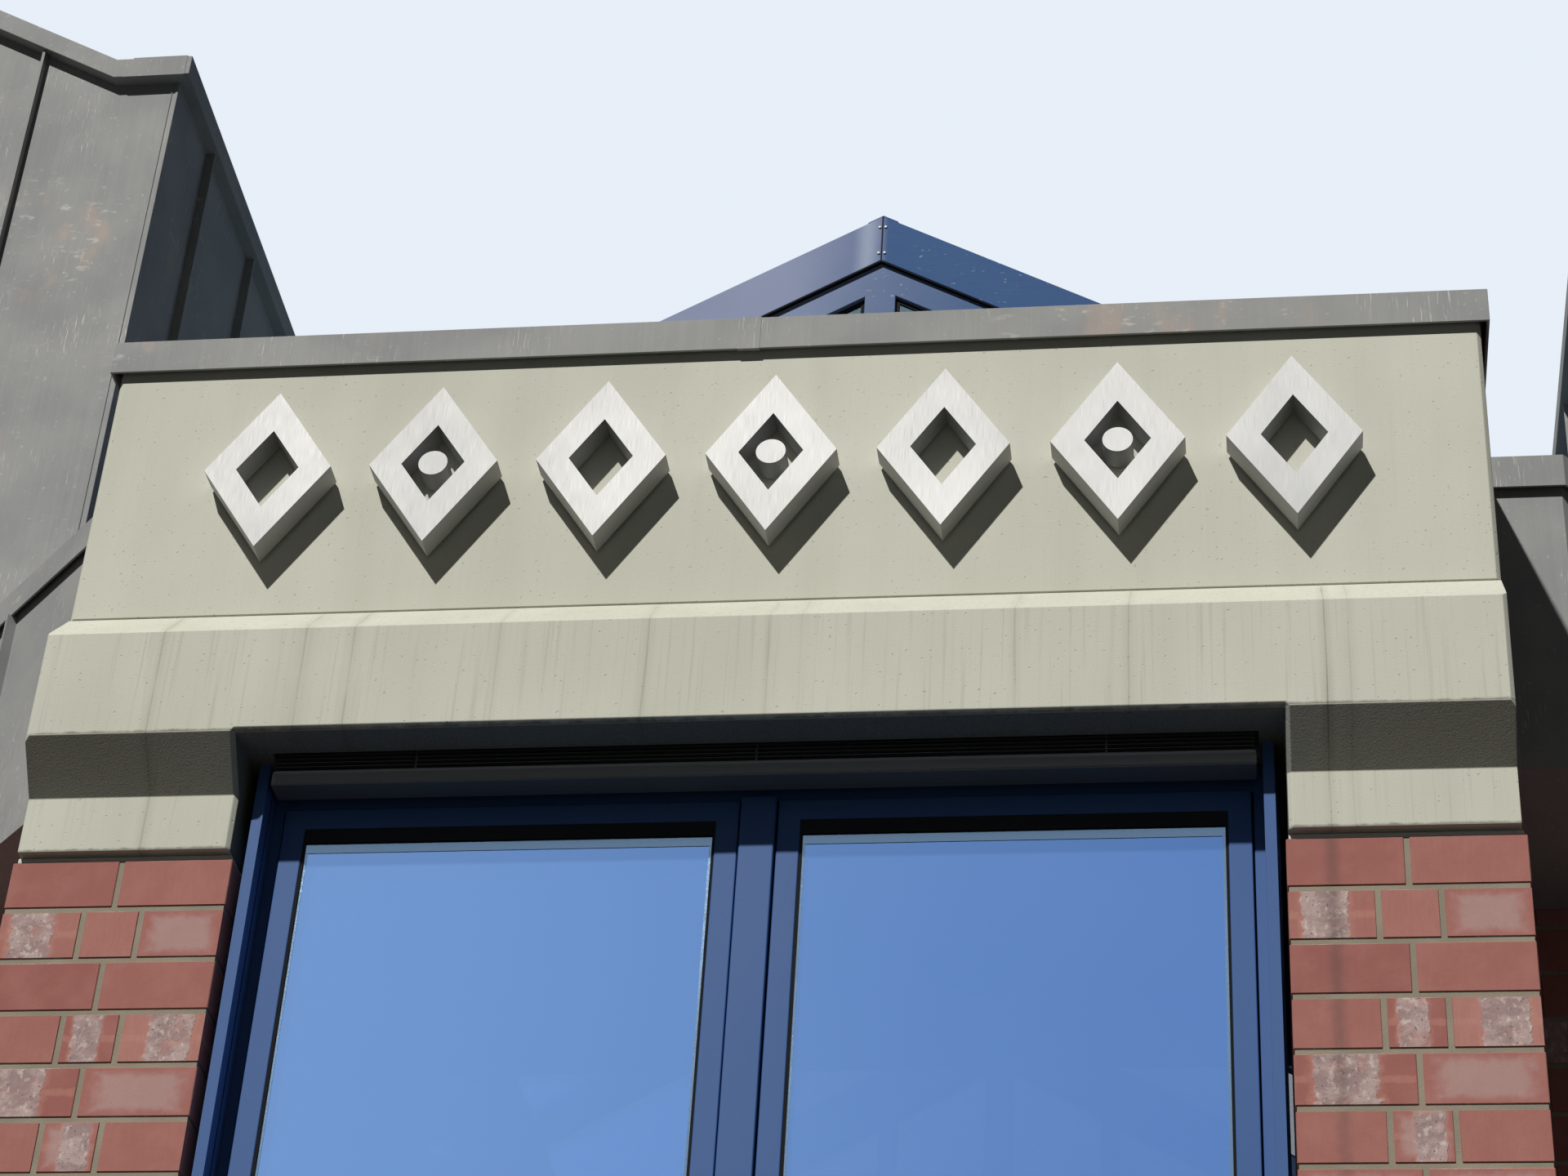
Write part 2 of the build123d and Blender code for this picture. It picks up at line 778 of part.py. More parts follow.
# Glass of both slopes, in front of which the verge panels stand
with BuildPart() as skylight_panes:
    with BuildSketch(Plane.XZ.offset(-skylight_face)):
        with BuildLine():
            Polyline(*slope_band(skylight_half, glass_top, glass_rise), close=True)
        make_face()
    extrude(amount=-skylight_length)
skylight_panes.part.label = "skylight_panes"
export_step(skylight_panes.part, "parts/skylight_panes.step")

# Cap profiles over the rafters and along the ridge
with BuildPart() as skylight_caps:
    for plane_y in rafter_starts:
        with BuildSketch(Plane.XZ.offset(-plane_y - (rafter_width - cap_width) / 2)):
            with BuildLine():
                Polyline(*slope_band(skylight_half, skylight_top, cap_height), close=True)
            make_face()
        extrude(amount=-cap_width)
    with BuildSketch(Plane.XZ.offset(-skylight_face)):
        with BuildLine():
            Polyline(*slope_band(gable_post, skylight_top, cap_height), close=True)
        make_face()
    extrude(amount=-skylight_length)
skylight_caps.part.label = "skylight_caps"
export_step(skylight_caps.part, "parts/skylight_caps.step")

# Folded verge panels on both ends
with BuildPart() as skylight_verges:
    for plane_y in (skylight_face - verge_panel_depth, skylight_back):
        with BuildSketch(Plane.XZ.offset(-plane_y)):
            with BuildLine():
                Polyline(
                    *slope_band(skylight_half + verge_panel_depth, skylight_top, verge_panel_height),
                    close=True,
                )
            make_face()
        extrude(amount=-verge_panel_depth)
skylight_verges.part.label = "skylight_verges"
export_step(skylight_verges.part, "parts/skylight_verges.step")

# Portal glazing: outer frame with a transom over the entrance
frame_half = opening_width / 2 - frame_inset
light_half = frame_half - frame_width
frame_top = soffit_level - frame_head_gap
light_top = frame_top - frame_head
light_foot = transom_level + transom_height
frame_plane = Plane.XZ.offset(-front - frame_front)
stop_front = leaf_front + leaf_depth
stop_depth = frame_front + frame_depth - stop_front
with BuildPart() as portal_frame:
    with BuildSketch(frame_plane):
        with Locations((0, floor_slab)):
            Rectangle(2 * frame_half, frame_top - floor_slab, align=(Align.CENTER, Align.MIN))
        with Locations((0, light_foot)):
            Rectangle(
                2 * light_half,
                light_top - light_foot,
                align=(Align.CENTER, Align.MIN),
                mode=Mode.SUBTRACT,
            )
        with Locations((0, floor_slab + door_sill)):
            Rectangle(
                2 * light_half,
                transom_level - floor_slab - door_sill,
                align=(Align.CENTER, Align.MIN),
                mode=Mode.SUBTRACT,
            )
    extrude(amount=-frame_depth)
    with BuildSketch(Plane.XZ.offset(-front - stop_front)):
        for foot, head in ((light_foot, light_top), (floor_slab + door_sill, transom_level)):
            with Locations((0, foot)):
                Rectangle(2 * light_half, head - foot, align=(Align.CENTER, Align.MIN))
            with Locations((0, foot + frame_stop)):
                Rectangle(
                    2 * (light_half - frame_stop),
                    head - foot - 2 * frame_stop,
                    align=(Align.CENTER, Align.MIN),
                    mode=Mode.SUBTRACT,
                )
    extrude(amount=-stop_depth)
portal_frame.part.label = "portal_frame"
export_step(portal_frame.part, "parts/portal_frame.step")

with BuildPart() as center_mullion:
    with BuildSketch(Plane.XZ.offset(-front - mullion_front)):
        with Locations((0, light_foot)):
            Rectangle(mullion_width, light_top - light_foot, align=(Align.CENTER, Align.MIN))
    extrude(amount=mullion_front - stop_front)
    with BuildSketch(Plane.XZ.offset(-front - stop_front)):
        with Locations((0, light_foot + frame_stop)):
            Rectangle(
                mullion_width + 2 * frame_stop,
                light_top - light_foot - 2 * frame_stop,
                align=(Align.CENTER, Align.MIN),
            )
    extrude(amount=-stop_depth)
center_mullion.part.label = "center_mullion"
export_step(center_mullion.part, "parts/center_mullion.step")

# Upper leaves, drawn on the right and mirrored
leaf_left = mullion_width / 2 + leaf_clearance
leaf_right = light_half - leaf_clearance
leaf_span = leaf_right - leaf_left
leaf_rise = light_top - light_foot - 2 * leaf_clearance
leaf_centre = ((leaf_left + leaf_right) / 2, light_foot + leaf_clearance)
pane_centre = (leaf_centre[0], leaf_centre[1] + leaf_width)
leaf_plane = Plane.XZ.offset(-front - leaf_front)
pane_plane = Plane.XZ.offset(-front - leaf_front - leaf_reveal)
with BuildPart() as right_leaf:
    with BuildSketch(leaf_plane):
        with Locations(leaf_centre):
            Rectangle(leaf_span, leaf_rise, align=(Align.CENTER, Align.MIN))
        with Locations(pane_centre):
            Rectangle(
                leaf_span - 2 * leaf_width,
                leaf_rise - 2 * leaf_width,
                align=(Align.CENTER, Align.MIN),
                mode=Mode.SUBTRACT,
            )
    extrude(amount=-leaf_depth)
right_leaf.part.label = "right_leaf"
export_step(right_leaf.part, "parts/right_leaf.step")

with BuildPart() as left_leaf:
    mirror(right_leaf.part, about=Plane.YZ)
left_leaf.part.label = "left_leaf"
export_step(left_leaf.part, "parts/left_leaf.step")

# Fixed glazed leaves of the entrance below the transom
entry_left = leaf_clearance / 2
entry_span = leaf_right - entry_left
entry_foot = floor_slab + door_sill + leaf_clearance
entry_rise = transom_level - leaf_clearance - entry_foot
entry_centre = (entry_left + leaf_right) / 2
entry_panes = (
    (entry_foot + leaf_width, door_rail_level),
    (door_rail_level + door_rail, entry_foot + entry_rise - leaf_width),
)
with BuildPart() as right_entry_leaf:
    with BuildSketch(leaf_plane):
        with Locations((entry_centre, entry_foot)):
            Rectangle(entry_span, entry_rise, align=(Align.CENTER, Align.MIN))
        for foot, head in entry_panes:
            with Locations((entry_centre, foot)):
                Rectangle(
                    entry_span - 2 * leaf_width,
                    head - foot,
                    align=(Align.CENTER, Align.MIN),
                    mode=Mode.SUBTRACT,
                )
    extrude(amount=-leaf_depth)
right_entry_leaf.part.label = "right_entry_leaf"
export_step(right_entry_leaf.part, "parts/right_entry_leaf.step")

with BuildPart() as left_entry_leaf:
    mirror(right_entry_leaf.part, about=Plane.YZ)
left_entry_leaf.part.label = "left_entry_leaf"
export_step(left_entry_leaf.part, "parts/left_entry_leaf.step")

# Panes of the upper leaves and of the entrance leaves
with BuildPart() as portal_panes:
    with BuildSketch(pane_plane):
        with Locations(pane_centre):
            Rectangle(
                leaf_span - 2 * leaf_width,
                leaf_rise - 2 * leaf_width,
                align=(Align.CENTER, Align.MIN),
            )
        for foot, head in entry_panes:
            with Locations((entry_centre, foot)):
                Rectangle(
                    entry_span - 2 * leaf_width,
                    head - foot,
                    align=(Align.CENTER, Align.MIN),
                )
        mirror(about=Plane.YZ)
    extrude(amount=-pane_thickness)
portal_panes.part.label = "portal_panes"
export_step(portal_panes.part, "parts/portal_panes.step")

# Grooved guide rails of the outside blind, up to the lintel's soffit
guide_right = frame_half - guide_inset + guide_width / 2
guide_left = guide_right - guide_width
guide_depth = frame_front - guide_front
with BuildPart() as blind_guides:
    with BuildSketch(Plane.XY.offset(floor_slab)):
        with Locations((guide_left, front + guide_front)):
            Rectangle(guide_width, guide_depth, align=Align.MIN)
        with Locations((guide_left, front + guide_front + guide_depth / 2)):
            Rectangle(
                2 * guide_groove_depth,
                guide_groove,
                mode=Mode.SUBTRACT,
            )
        mirror(about=Plane.YZ)
    extrude(amount=soffit_level - floor_slab)
blind_guides.part.label = "blind_guides"
export_step(blind_guides.part, "parts/blind_guides.step")

# Outside blind, drawn up into its chamber: the pack of slats, and the bottom rail
blind_foot = soffit_level - blind_drop
with BuildPart() as blind:
    with BuildSketch(Plane.YZ):
        with Locations((front + blind_front, blind_foot)):
            Rectangle(blind_depth, blind_rail, align=Align.MIN)
        with Locations((front + blind_front + blind_pack_inset, blind_foot)):
            Rectangle(
                blind_depth - 2 * blind_pack_inset,
                blind_drop + chamber_height,
                align=Align.MIN,
            )
    extrude(amount=blind_half, both=True)
blind.part.label = "blind"
export_step(blind.part, "parts/blind.step")

# Windows of the wings and the rear wall: a frame with a middle post, and two panes each
pane_width = (window_width - 3 * window_frame) / 2
pane_height = window_height - 2 * window_frame
pane_shift = (pane_width + window_frame) / 2
pane_setback = (window_depth - glass_thickness) / 2
window_walls = (
    (brick_face + window_reveal, front_windows, True),
    (rear_face - window_reveal - window_depth, rear_places, False),
)
side_plane_x = brick_outer - window_reveal
with BuildPart() as window_frames:
    for plane_y, places, mirrored in window_walls:
        with BuildSketch(Plane.XZ.offset(-plane_y)):
            with Locations(*places):
                Rectangle(window_width, window_height, align=(Align.CENTER, Align.MIN))
            for side in (-1, 1):
                with Locations(*[(at + side * pane_shift, foot + window_frame) for at, foot in places]):
                    Rectangle(
                        pane_width,
                        pane_height,
                        align=(Align.CENTER, Align.MIN),
                        mode=Mode.SUBTRACT,
                    )
            if mirrored:
                mirror(about=Plane.YZ)
        extrude(amount=-window_depth)
    with BuildSketch(Plane.YZ.offset(side_plane_x)):
        with Locations(*side_places):
            Rectangle(window_width, window_height, align=(Align.CENTER, Align.MIN))
        for side in (-1, 1):
            with Locations(*[(at + side * pane_shift, foot + window_frame) for at, foot in side_places]):
                Rectangle(
                    pane_width,
                    pane_height,
                    align=(Align.CENTER, Align.MIN),
                    mode=Mode.SUBTRACT,
                )
    side_frames = extrude(amount=-window_depth)
    mirror(side_frames, about=Plane.YZ)
window_frames.part.label = "window_frames"
export_step(window_frames.part, "parts/window_frames.step")

with BuildPart() as window_panes:
    for plane_y, places, mirrored in window_walls:
        with BuildSketch(Plane.XZ.offset(-plane_y - pane_setback)):
            for side in (-1, 1):
                with Locations(*[(at + side * pane_shift, foot + window_frame) for at, foot in places]):
                    Rectangle(pane_width, pane_height, align=(Align.CENTER, Align.MIN))
            if mirrored:
                mirror(about=Plane.YZ)
        extrude(amount=-glass_thickness)
    with BuildSketch(Plane.YZ.offset(side_plane_x - pane_setback)):
        for side in (-1, 1):
            with Locations(*[(at + side * pane_shift, foot + window_frame) for at, foot in side_places]):
                Rectangle(pane_width, pane_height, align=(Align.CENTER, Align.MIN))
    side_panes = extrude(amount=-glass_thickness)
    mirror(side_panes, about=Plane.YZ)
window_panes.part.label = "window_panes"
export_step(window_panes.part, "parts/window_panes.step")

# Precast sills in front of the window frames
sill_walls = (
    (brick_face - sill_reach, front_windows, True),
    (rear_face - window_reveal, rear_places, False),
)
sill_depth = window_reveal + sill_reach
with BuildPart() as window_sills:
    for plane_y, places, mirrored in sill_walls:
        with BuildSketch(Plane.XZ.offset(-plane_y)):
            with Locations(*places):
                Rectangle(window_width, sill_height, align=(Align.CENTER, Align.MIN))
            if mirrored:
                mirror(about=Plane.YZ)
        extrude(amount=-sill_depth)
    with BuildSketch(Plane.YZ.offset(side_plane_x)):
        with Locations(*side_places):
            Rectangle(window_width, sill_height, align=(Align.CENTER, Align.MIN))
    side_sills = extrude(amount=sill_depth)
    mirror(side_sills, about=Plane.YZ)
window_sills.part.label = "window_sills"
export_step(window_sills.part, "parts/window_sills.step")

# Zinc roof sheets of the wings, with their standing seams
sheet_top = [
    (wing_inner + parapet_width, parapet_top),
    (wing_centre, ridge_level),
    (outer_x - parapet_width, parapet_top),
]
sheet_over = [(across, level + roof_sheet) for across, level in reversed(sheet_top)]
seam_over = [(across, level + roof_sheet + seam_height) for across, level in reversed(sheet_top)]
roof_length = attic_length - 2 * attic_thickness
with BuildPart() as right_wing_roof:
    with BuildSketch(Plane.XZ.offset(-wing_face - attic_thickness)):
        with BuildLine():
            Polyline(*sheet_top, *sheet_over, close=True)
        make_face()
    extrude(amount=-roof_length)
    for number in range(side_seams):
        seam_y = wing_face + attic_length / 2 + (number - (side_seams - 1) / 2) * seam_pitch
        with BuildSketch(Plane.XZ.offset(-seam_y + seam_width / 2)):
            with BuildLine():
                Polyline(*sheet_top, *seam_over, close=True)
            make_face()
        extrude(amount=-seam_width)
right_wing_roof.part.label = "right_wing_roof"
export_step(right_wing_roof.part, "parts/right_wing_roof.step")

with BuildPart() as left_wing_roof:
    mirror(right_wing_roof.part, about=Plane.YZ)
left_wing_roof.part.label = "left_wing_roof"
export_step(left_wing_roof.part, "parts/left_wing_roof.step")

# Raised lozenges in a row on the panel, each held off it by pins
row_half = (ornament_count - 1) / 2
ornament_places = [(number - row_half) * ornament_pitch for number in range(ornament_count)]
ornament_level = panel_bottom + ornament_base + ornament_height / 2
ornament_back = front - panel_reach - ornament_standoff
half_width, half_height = ornament_width / 2, ornament_height / 2
side_distance = half_width * half_height / math.hypot(half_width, half_height)
inner_share = 1 - ornament_stroke / side_distance
pin_shift = half_height * (1 + inner_share) / 2
with BuildPart() as panel_ornaments:
    with BuildSketch(Plane.XZ.offset(-ornament_back)):
        for share, shape_mode in ((1, Mode.ADD), (inner_share, Mode.SUBTRACT)):
            with Locations(*[(place, ornament_level) for place in ornament_places]):
                Polygon(
                    (0, share * half_height),
                    (share * half_width, 0),
                    (0, -share * half_height),
                    (-share * half_width, 0),
                    mode=shape_mode,
                )
        with Locations(*[(place, ornament_level) for place in ornament_places[1::2]]):
            Circle(disc_radius)
    extrude(amount=ornament_depth)
    with BuildSketch(Plane.XZ.offset(-ornament_back)):
        for shift in (-pin_shift, pin_shift):
            with Locations(*[(place, ornament_level + shift) for place in ornament_places]):
                Circle(ornament_pin / 2)
        with Locations(*[(place, ornament_level) for place in ornament_places[1::2]]):
            Circle(ornament_pin / 2)
    extrude(amount=-ornament_standoff)
panel_ornaments.part.label = "panel_ornaments"
export_step(panel_ornaments.part, "parts/panel_ornaments.step")
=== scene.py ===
import logging
import math
from collections.abc import Callable, Iterator, Sequence
from contextlib import contextmanager
from dataclasses import dataclass, field
from enum import Enum
from functools import cache, reduce

import bpy
from mathutils import Matrix, Vector


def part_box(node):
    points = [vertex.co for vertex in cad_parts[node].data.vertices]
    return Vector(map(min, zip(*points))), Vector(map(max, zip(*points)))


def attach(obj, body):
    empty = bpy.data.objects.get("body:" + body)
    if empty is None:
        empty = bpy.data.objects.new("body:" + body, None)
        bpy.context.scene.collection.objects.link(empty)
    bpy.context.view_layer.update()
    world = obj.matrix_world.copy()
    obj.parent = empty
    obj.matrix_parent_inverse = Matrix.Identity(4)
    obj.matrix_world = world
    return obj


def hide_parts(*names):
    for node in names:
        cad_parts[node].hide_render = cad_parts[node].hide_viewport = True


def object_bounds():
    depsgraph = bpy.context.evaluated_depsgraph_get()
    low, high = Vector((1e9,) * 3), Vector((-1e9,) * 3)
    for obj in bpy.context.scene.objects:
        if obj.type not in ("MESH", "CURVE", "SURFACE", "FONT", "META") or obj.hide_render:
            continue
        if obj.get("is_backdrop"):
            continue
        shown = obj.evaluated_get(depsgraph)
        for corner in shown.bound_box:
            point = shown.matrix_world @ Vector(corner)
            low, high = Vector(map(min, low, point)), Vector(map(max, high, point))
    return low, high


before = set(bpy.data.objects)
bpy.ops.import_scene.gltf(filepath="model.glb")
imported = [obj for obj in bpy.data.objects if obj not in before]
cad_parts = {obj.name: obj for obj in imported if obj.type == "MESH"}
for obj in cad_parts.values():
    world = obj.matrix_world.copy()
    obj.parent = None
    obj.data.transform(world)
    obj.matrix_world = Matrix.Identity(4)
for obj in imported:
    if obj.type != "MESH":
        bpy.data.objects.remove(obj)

log = logging.getLogger("entrance_bay")
Colour = tuple[float, float, float]
Number = float | int
Piece = bpy.types.Object
Point = Vector | Sequence[float]
FaceTest = Callable[[Vector, Vector], bool]
PointTest = Callable[[Vector], bool]

BODY = "root"
SIDES = (("left", -1), ("right", 1))
# Brickwork in metres: a course with its joint, a joint, and a brick's length, depth and height.
COURSE = 0.125
JOINT = 0.012
BRICK = (0.240, 0.115, 0.113)
MORTAR_DEPTH = 0.0028
FACE_MAP = "brick_face"
# A point this close to a plane lies on it, and a normal with this part along an axis faces that way.
NEAR = 0.0008
FACING = 0.9
# Edges sharper than the first angle are rounded, and those flatter than the second one shaded smooth.
SHARP, SMOOTH = math.radians(28), math.radians(50)


def tone(red: int, green: int, blue: int) -> Colour:
    """Turns screen values of 0 to 255 into a linear colour."""
    shares = [value / 255 for value in (red, green, blue)]
    return tuple(s / 12.92 if s <= 0.04045 else ((s + 0.055) / 1.055) ** 2.4 for s in shares)


def edges_of(node: str, sign: int) -> tuple[float, float]:
    """The inner and the outer x of a node on the right (1) or the left (-1) of the middle."""
    low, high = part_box(node)
    return (low.x, high.x) if sign > 0 else (high.x, low.x)


class Wire:
    """An output socket that takes part in arithmetic; each expression adds its node."""

    def __init__(self, board: "Board", socket: bpy.types.NodeSocket) -> None:
        """Keeps the board and the socket."""
        self.board = board
        self.socket = socket

    def _math(self, operation: str, first: "Wire | Number", second: "Wire | Number") -> "Wire":
        """Adds one Math node and returns its result."""
        return self.board.node("ShaderNodeMath", {"operation": operation}, {0: first, 1: second})

    def __add__(self, other: "Wire | Number") -> "Wire":
        """Sum."""
        return self._math("ADD", self, other)

    def __radd__(self, other: Number) -> "Wire":
        """Sum with the number first."""
        return self._math("ADD", other, self)

    def __sub__(self, other: "Wire | Number") -> "Wire":
        """Difference."""
        return self._math("SUBTRACT", self, other)

    def __rsub__(self, other: Number) -> "Wire":
        """Difference with the number first."""
        return self._math("SUBTRACT", other, self)

    def __mul__(self, other: "Wire | Number") -> "Wire":
        """Product."""
        return self._math("MULTIPLY", self, other)

    def __rmul__(self, other: Number) -> "Wire":
        """Product with the number first."""
        return self._math("MULTIPLY", other, self)

    def __mod__(self, other: Number) -> "Wire":
        """Remainder."""
        return self._math("MODULO", self, other)

    def __abs__(self) -> "Wire":
        """Size without its sign."""
        return self._math("ABSOLUTE", self, 0.0)

    def most(self, other: "Wire | Number") -> "Wire":
        """The larger of both."""
        return self._math("MAXIMUM", self, other)

    def span(self, low: float, high: float, start: float = 0.0, end: float = 1.0) -> "Wire":
        """Maps low..high to start..end with soft ends, and holds the result beyond them."""
        sockets = {"Value": self, "From Min": low, "From Max": high, "To Min": start, "To Max": end}
        return self.board.node("ShaderNodeMapRange", {"interpolation_type": "SMOOTHSTEP"}, sockets)


class Board:
    """A node tree that is wired up by expressions."""

    def __init__(self, tree: bpy.types.NodeTree) -> None:
        """Keeps the tree."""
        self.tree = tree

    def plug(self, socket: bpy.types.NodeSocket, value: Wire | Number | Colour) -> None:
        """Links a wire to a socket, or sets the socket's value.

        Args:
            socket: The input socket.
            value: The wire, number, vector or colour.
        """
        if isinstance(value, Wire):
            self.tree.links.new(value.socket, socket)
        elif socket.type == "RGBA":
            socket.default_value = (*value, 1.0)
        else:
            socket.default_value = value

    def node(
        self, kind: str, settings: dict | None = None, sockets: dict | None = None, output: int | str = 0,
    ) -> Wire:
        """Adds any node, with its settings first and then its sockets.

        Args:
            kind: Type of the node.
            settings: Attributes of the node; "stops" holds a ramp's stops.
            sockets: Values or wires by the socket's name or number.
            output: Name or number of the output that is wanted.

        Returns:
            The output as a wire.
        """
        made = self.tree.nodes.new(kind)
        for name, value in (settings or {}).items():
            if name == "stops":
                self._set_stops(made, value)
            else:
                setattr(made, name, value)
        for name, value in (sockets or {}).items():
            self.plug(made.inputs[name], value)
        return Wire(self, made.outputs[output])

    @staticmethod
    def _set_stops(ramp: bpy.types.Node, stops: Sequence[tuple[float, Colour]]) -> None:
        """Puts the stops of a ramp in place.

        Args:
            ramp: The ramp's node.
            stops: Place and colour of each stop.
        """
        elements = ramp.color_ramp.elements
        while len(elements) < len(stops):
            elements.new(0.5)
        for element, (place, colour) in zip(elements, stops):
            element.position = place
            element.color = (*colour, 1.0)

    def place(self) -> Wire:
        """The point on the object, in metres."""
        return self.node("ShaderNodeTexCoord", output="Object")

    def along(self, axis: str) -> Wire:
        """One coordinate of the point, by its letter."""
        return self.node("ShaderNodeSeparateXYZ", sockets={0: self.place()}, output=axis)

    def on_face(self, axis: str) -> Wire:
        """One coordinate on a brick's long face, from 0 to 1, by its letter."""
        spot = self.node("ShaderNodeUVMap", {"uv_map": FACE_MAP})
        return self.node("ShaderNodeSeparateXYZ", sockets={0: spot}, output=axis)

    def noise(
        self, scale: float, detail: float = 3.0, stretch: Point = (1.0, 1.0, 1.0), turn: float = 0.0,
    ) -> Wire:
        """Cloudy noise between 0 and 1.

        Args:
            scale: Clouds in a metre.
            detail: Octaves of finer noise.
            stretch: Scale along each axis; below 1 draws the clouds out.
            turn: Turn of the pattern about Y, in degrees.

        Returns:
            The noise.
        """
        sockets = {"Vector": self.place(), "Rotation": (0.0, math.radians(turn), 0.0), "Scale": stretch}
        spot = self.node("ShaderNodeMapping", sockets=sockets)
        return self.node("ShaderNodeTexNoise", sockets={"Vector": spot, "Scale": scale, "Detail": detail})

    def blend(self, share: Wire, first: Wire | Colour, second: Wire | Colour) -> Wire:
        """Mixes two colours, with share as the part of the second one."""
        sockets = {0: share, 6: first, 7: second}
        return self.node("ShaderNodeMix", {"data_type": "RGBA"}, sockets, output=2)


class Sheet(Board):
    """The board of one material, with a Principled shader at its end."""

    def __init__(self, label: str, base: Colour, **constants: Number) -> None:
        """Makes the material and sets the shader's constant sockets.

        Args:
            label: Name of the material.
            base: Its colour before any coat.
            constants: Socket values, with underscores for the spaces of the socket's name.
        """
        self.colour: Wire | Colour = base
        self.material = bpy.data.materials.new(label)
        self.material.use_nodes = True
        super().__init__(self.material.node_tree)
        for name, value in constants.items():
            self.feed(name.replace("_", " "), value)

    def feed(self, name: str, value: Wire | Number) -> None:
        """Links or sets a socket of the shader."""
        self.plug(self.tree.nodes["Principled BSDF"].inputs[name], value)

    def coat(self, share: Wire, colour: Wire | Colour) -> None:
        """Lays a colour over what is there, by its share."""
        self.colour = self.blend(share, self.colour, colour)
        self.feed("Base Color", self.colour)

    def relief(self, height: Wire, depth: float, strength: float) -> None:
        """Feeds the shader's normal with a bump of the given depth in metres."""
        sockets = {"Height": height, "Distance": depth, "Strength": strength}
        self.feed("Normal", self.node("ShaderNodeBump", sockets=sockets))


@dataclass(frozen=True)
class PrecastConcrete:
    """Pale grey-green concrete, clouded, with fine pores and soft dark runs below the panel.

    Arrises and the middles of the painted shade on the soffit and on the splay are levels above the lintel's
    foot, and a run is its x, its width and its strength. core is the share of a run's width that is darkest.
    The dark brown-grey colour serves that painted shade as well as the dirt along the arrises.
    """

    pale: Colour = tone(201, 202, 190)
    dull: Colour = tone(188, 189, 176)
    stain: Colour = tone(120, 124, 106)
    grime_and_shade: Colour = tone(72, 70, 58)
    arrises: tuple[float, ...] = (0.242, 0.001)
    head_shade: float = 0.1155
    splay_shade: float = 0.189
    jamb_play: float = 0.007
    core: float = 0.16
    runs: tuple[tuple[float, float, float], ...] = (
        (-1.325, 0.025, 0.35),
        (-1.000, 0.035, 0.30),
        (-0.892, 0.030, 0.34),
        (-0.563, 0.020, 0.22),
        (-0.237, 0.025, 0.30),
        (0.033, 0.020, 0.25),
        (0.104, 0.035, 0.22),
        (0.563, 0.020, 0.24),
        (0.805, 0.022, 0.34),
        (1.212, 0.020, 0.60),
        (1.262, 0.026, 0.20),
    )

    def run(self, away: Wire, width: float, depth: float) -> Wire:
        """A soft dark run with a darker core, by the distance from its middle."""
        core = away.span(0.0005, width * self.core, depth * 1.3, 0.0)
        return away.span(0.0, width, depth * 0.5, 0.0).most(core)

    def make(self) -> bpy.types.Material:
        """Builds the material.

        Returns:
            The material.
        """
        sheet = Sheet("precast_concrete", self.pale, Roughness=0.86, Specular_IOR_Level=0.06)
        foot, top = (corner.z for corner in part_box("portal_lintel"))
        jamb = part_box("right_pier")[0].x + self.jamb_play
        across, up = sheet.along("X"), sheet.along("Z")
        clouds = sheet.noise(1.6, 5.0).span(0.3, 0.7)
        streaks = sheet.noise(7.0, 4.0, (1.0, 1.0, 0.07)).span(0.35, 0.75)
        sheet.coat(clouds * 0.6 + streaks * 0.4, self.dull)
        wavy = across + (sheet.noise(5.0, 3.0, (1.0, 1.0, 0.25)) - 0.5) * 0.02
        runs = [self.run(abs(wavy - middle), width, depth) for middle, width, depth in self.runs]
        fade = up.span(top - 0.023, top + 0.007, 1.0, 0.0)
        patchy = sheet.noise(9.0, 3.0, (1.0, 1.0, 0.4)).span(0.3, 0.6, 0.35, 1.0)
        sheet.coat(reduce(Wire.most, runs) * fade * patchy, self.stain)
        lines = sheet.noise(130.0, 3.0, (1.0, 1.0, 0.02)).span(0.52, 0.78)
        sheet.coat(lines * (fade * 0.17 + 0.04), self.stain)
        ragged = sheet.noise(40.0, 4.0) * 0.012
        above = [up - (foot + level) for level in self.arrises]
        dirty = [rise.span(0.0, 0.001) * (rise + ragged).span(0.006, 0.014, 0.7, 0.0) for rise in above]
        sheet.coat(reduce(Wire.most, dirty), self.grime_and_shade)
        # Painted shade: the soffit over the opening and the splay are darkened towards dark brown-grey.
        head_shade = abs(up - (foot + self.head_shade)).span(0.126, 0.127, 0.82, 0.0)
        head_shade = head_shade * abs(across).span(jamb, jamb + 0.001, 1.0, 0.0)
        splay_shade = abs(up - (foot + self.splay_shade)).span(0.0515, 0.0525, 0.32, 0.0)
        sheet.coat(head_shade.most(splay_shade), self.grime_and_shade)
        pores = sheet.noise(95.0, 1.0).span(0.70, 0.76)
        grain = sheet.noise(260.0, 2.0)
        sheet.coat(pores * 0.25, self.stain)
        sheet.coat(grain.span(0.3, 0.7) * 0.12, self.dull)
        sheet.relief(grain * 0.5 - pores + clouds * 0.3, 0.0012, 0.6)
        return sheet.material


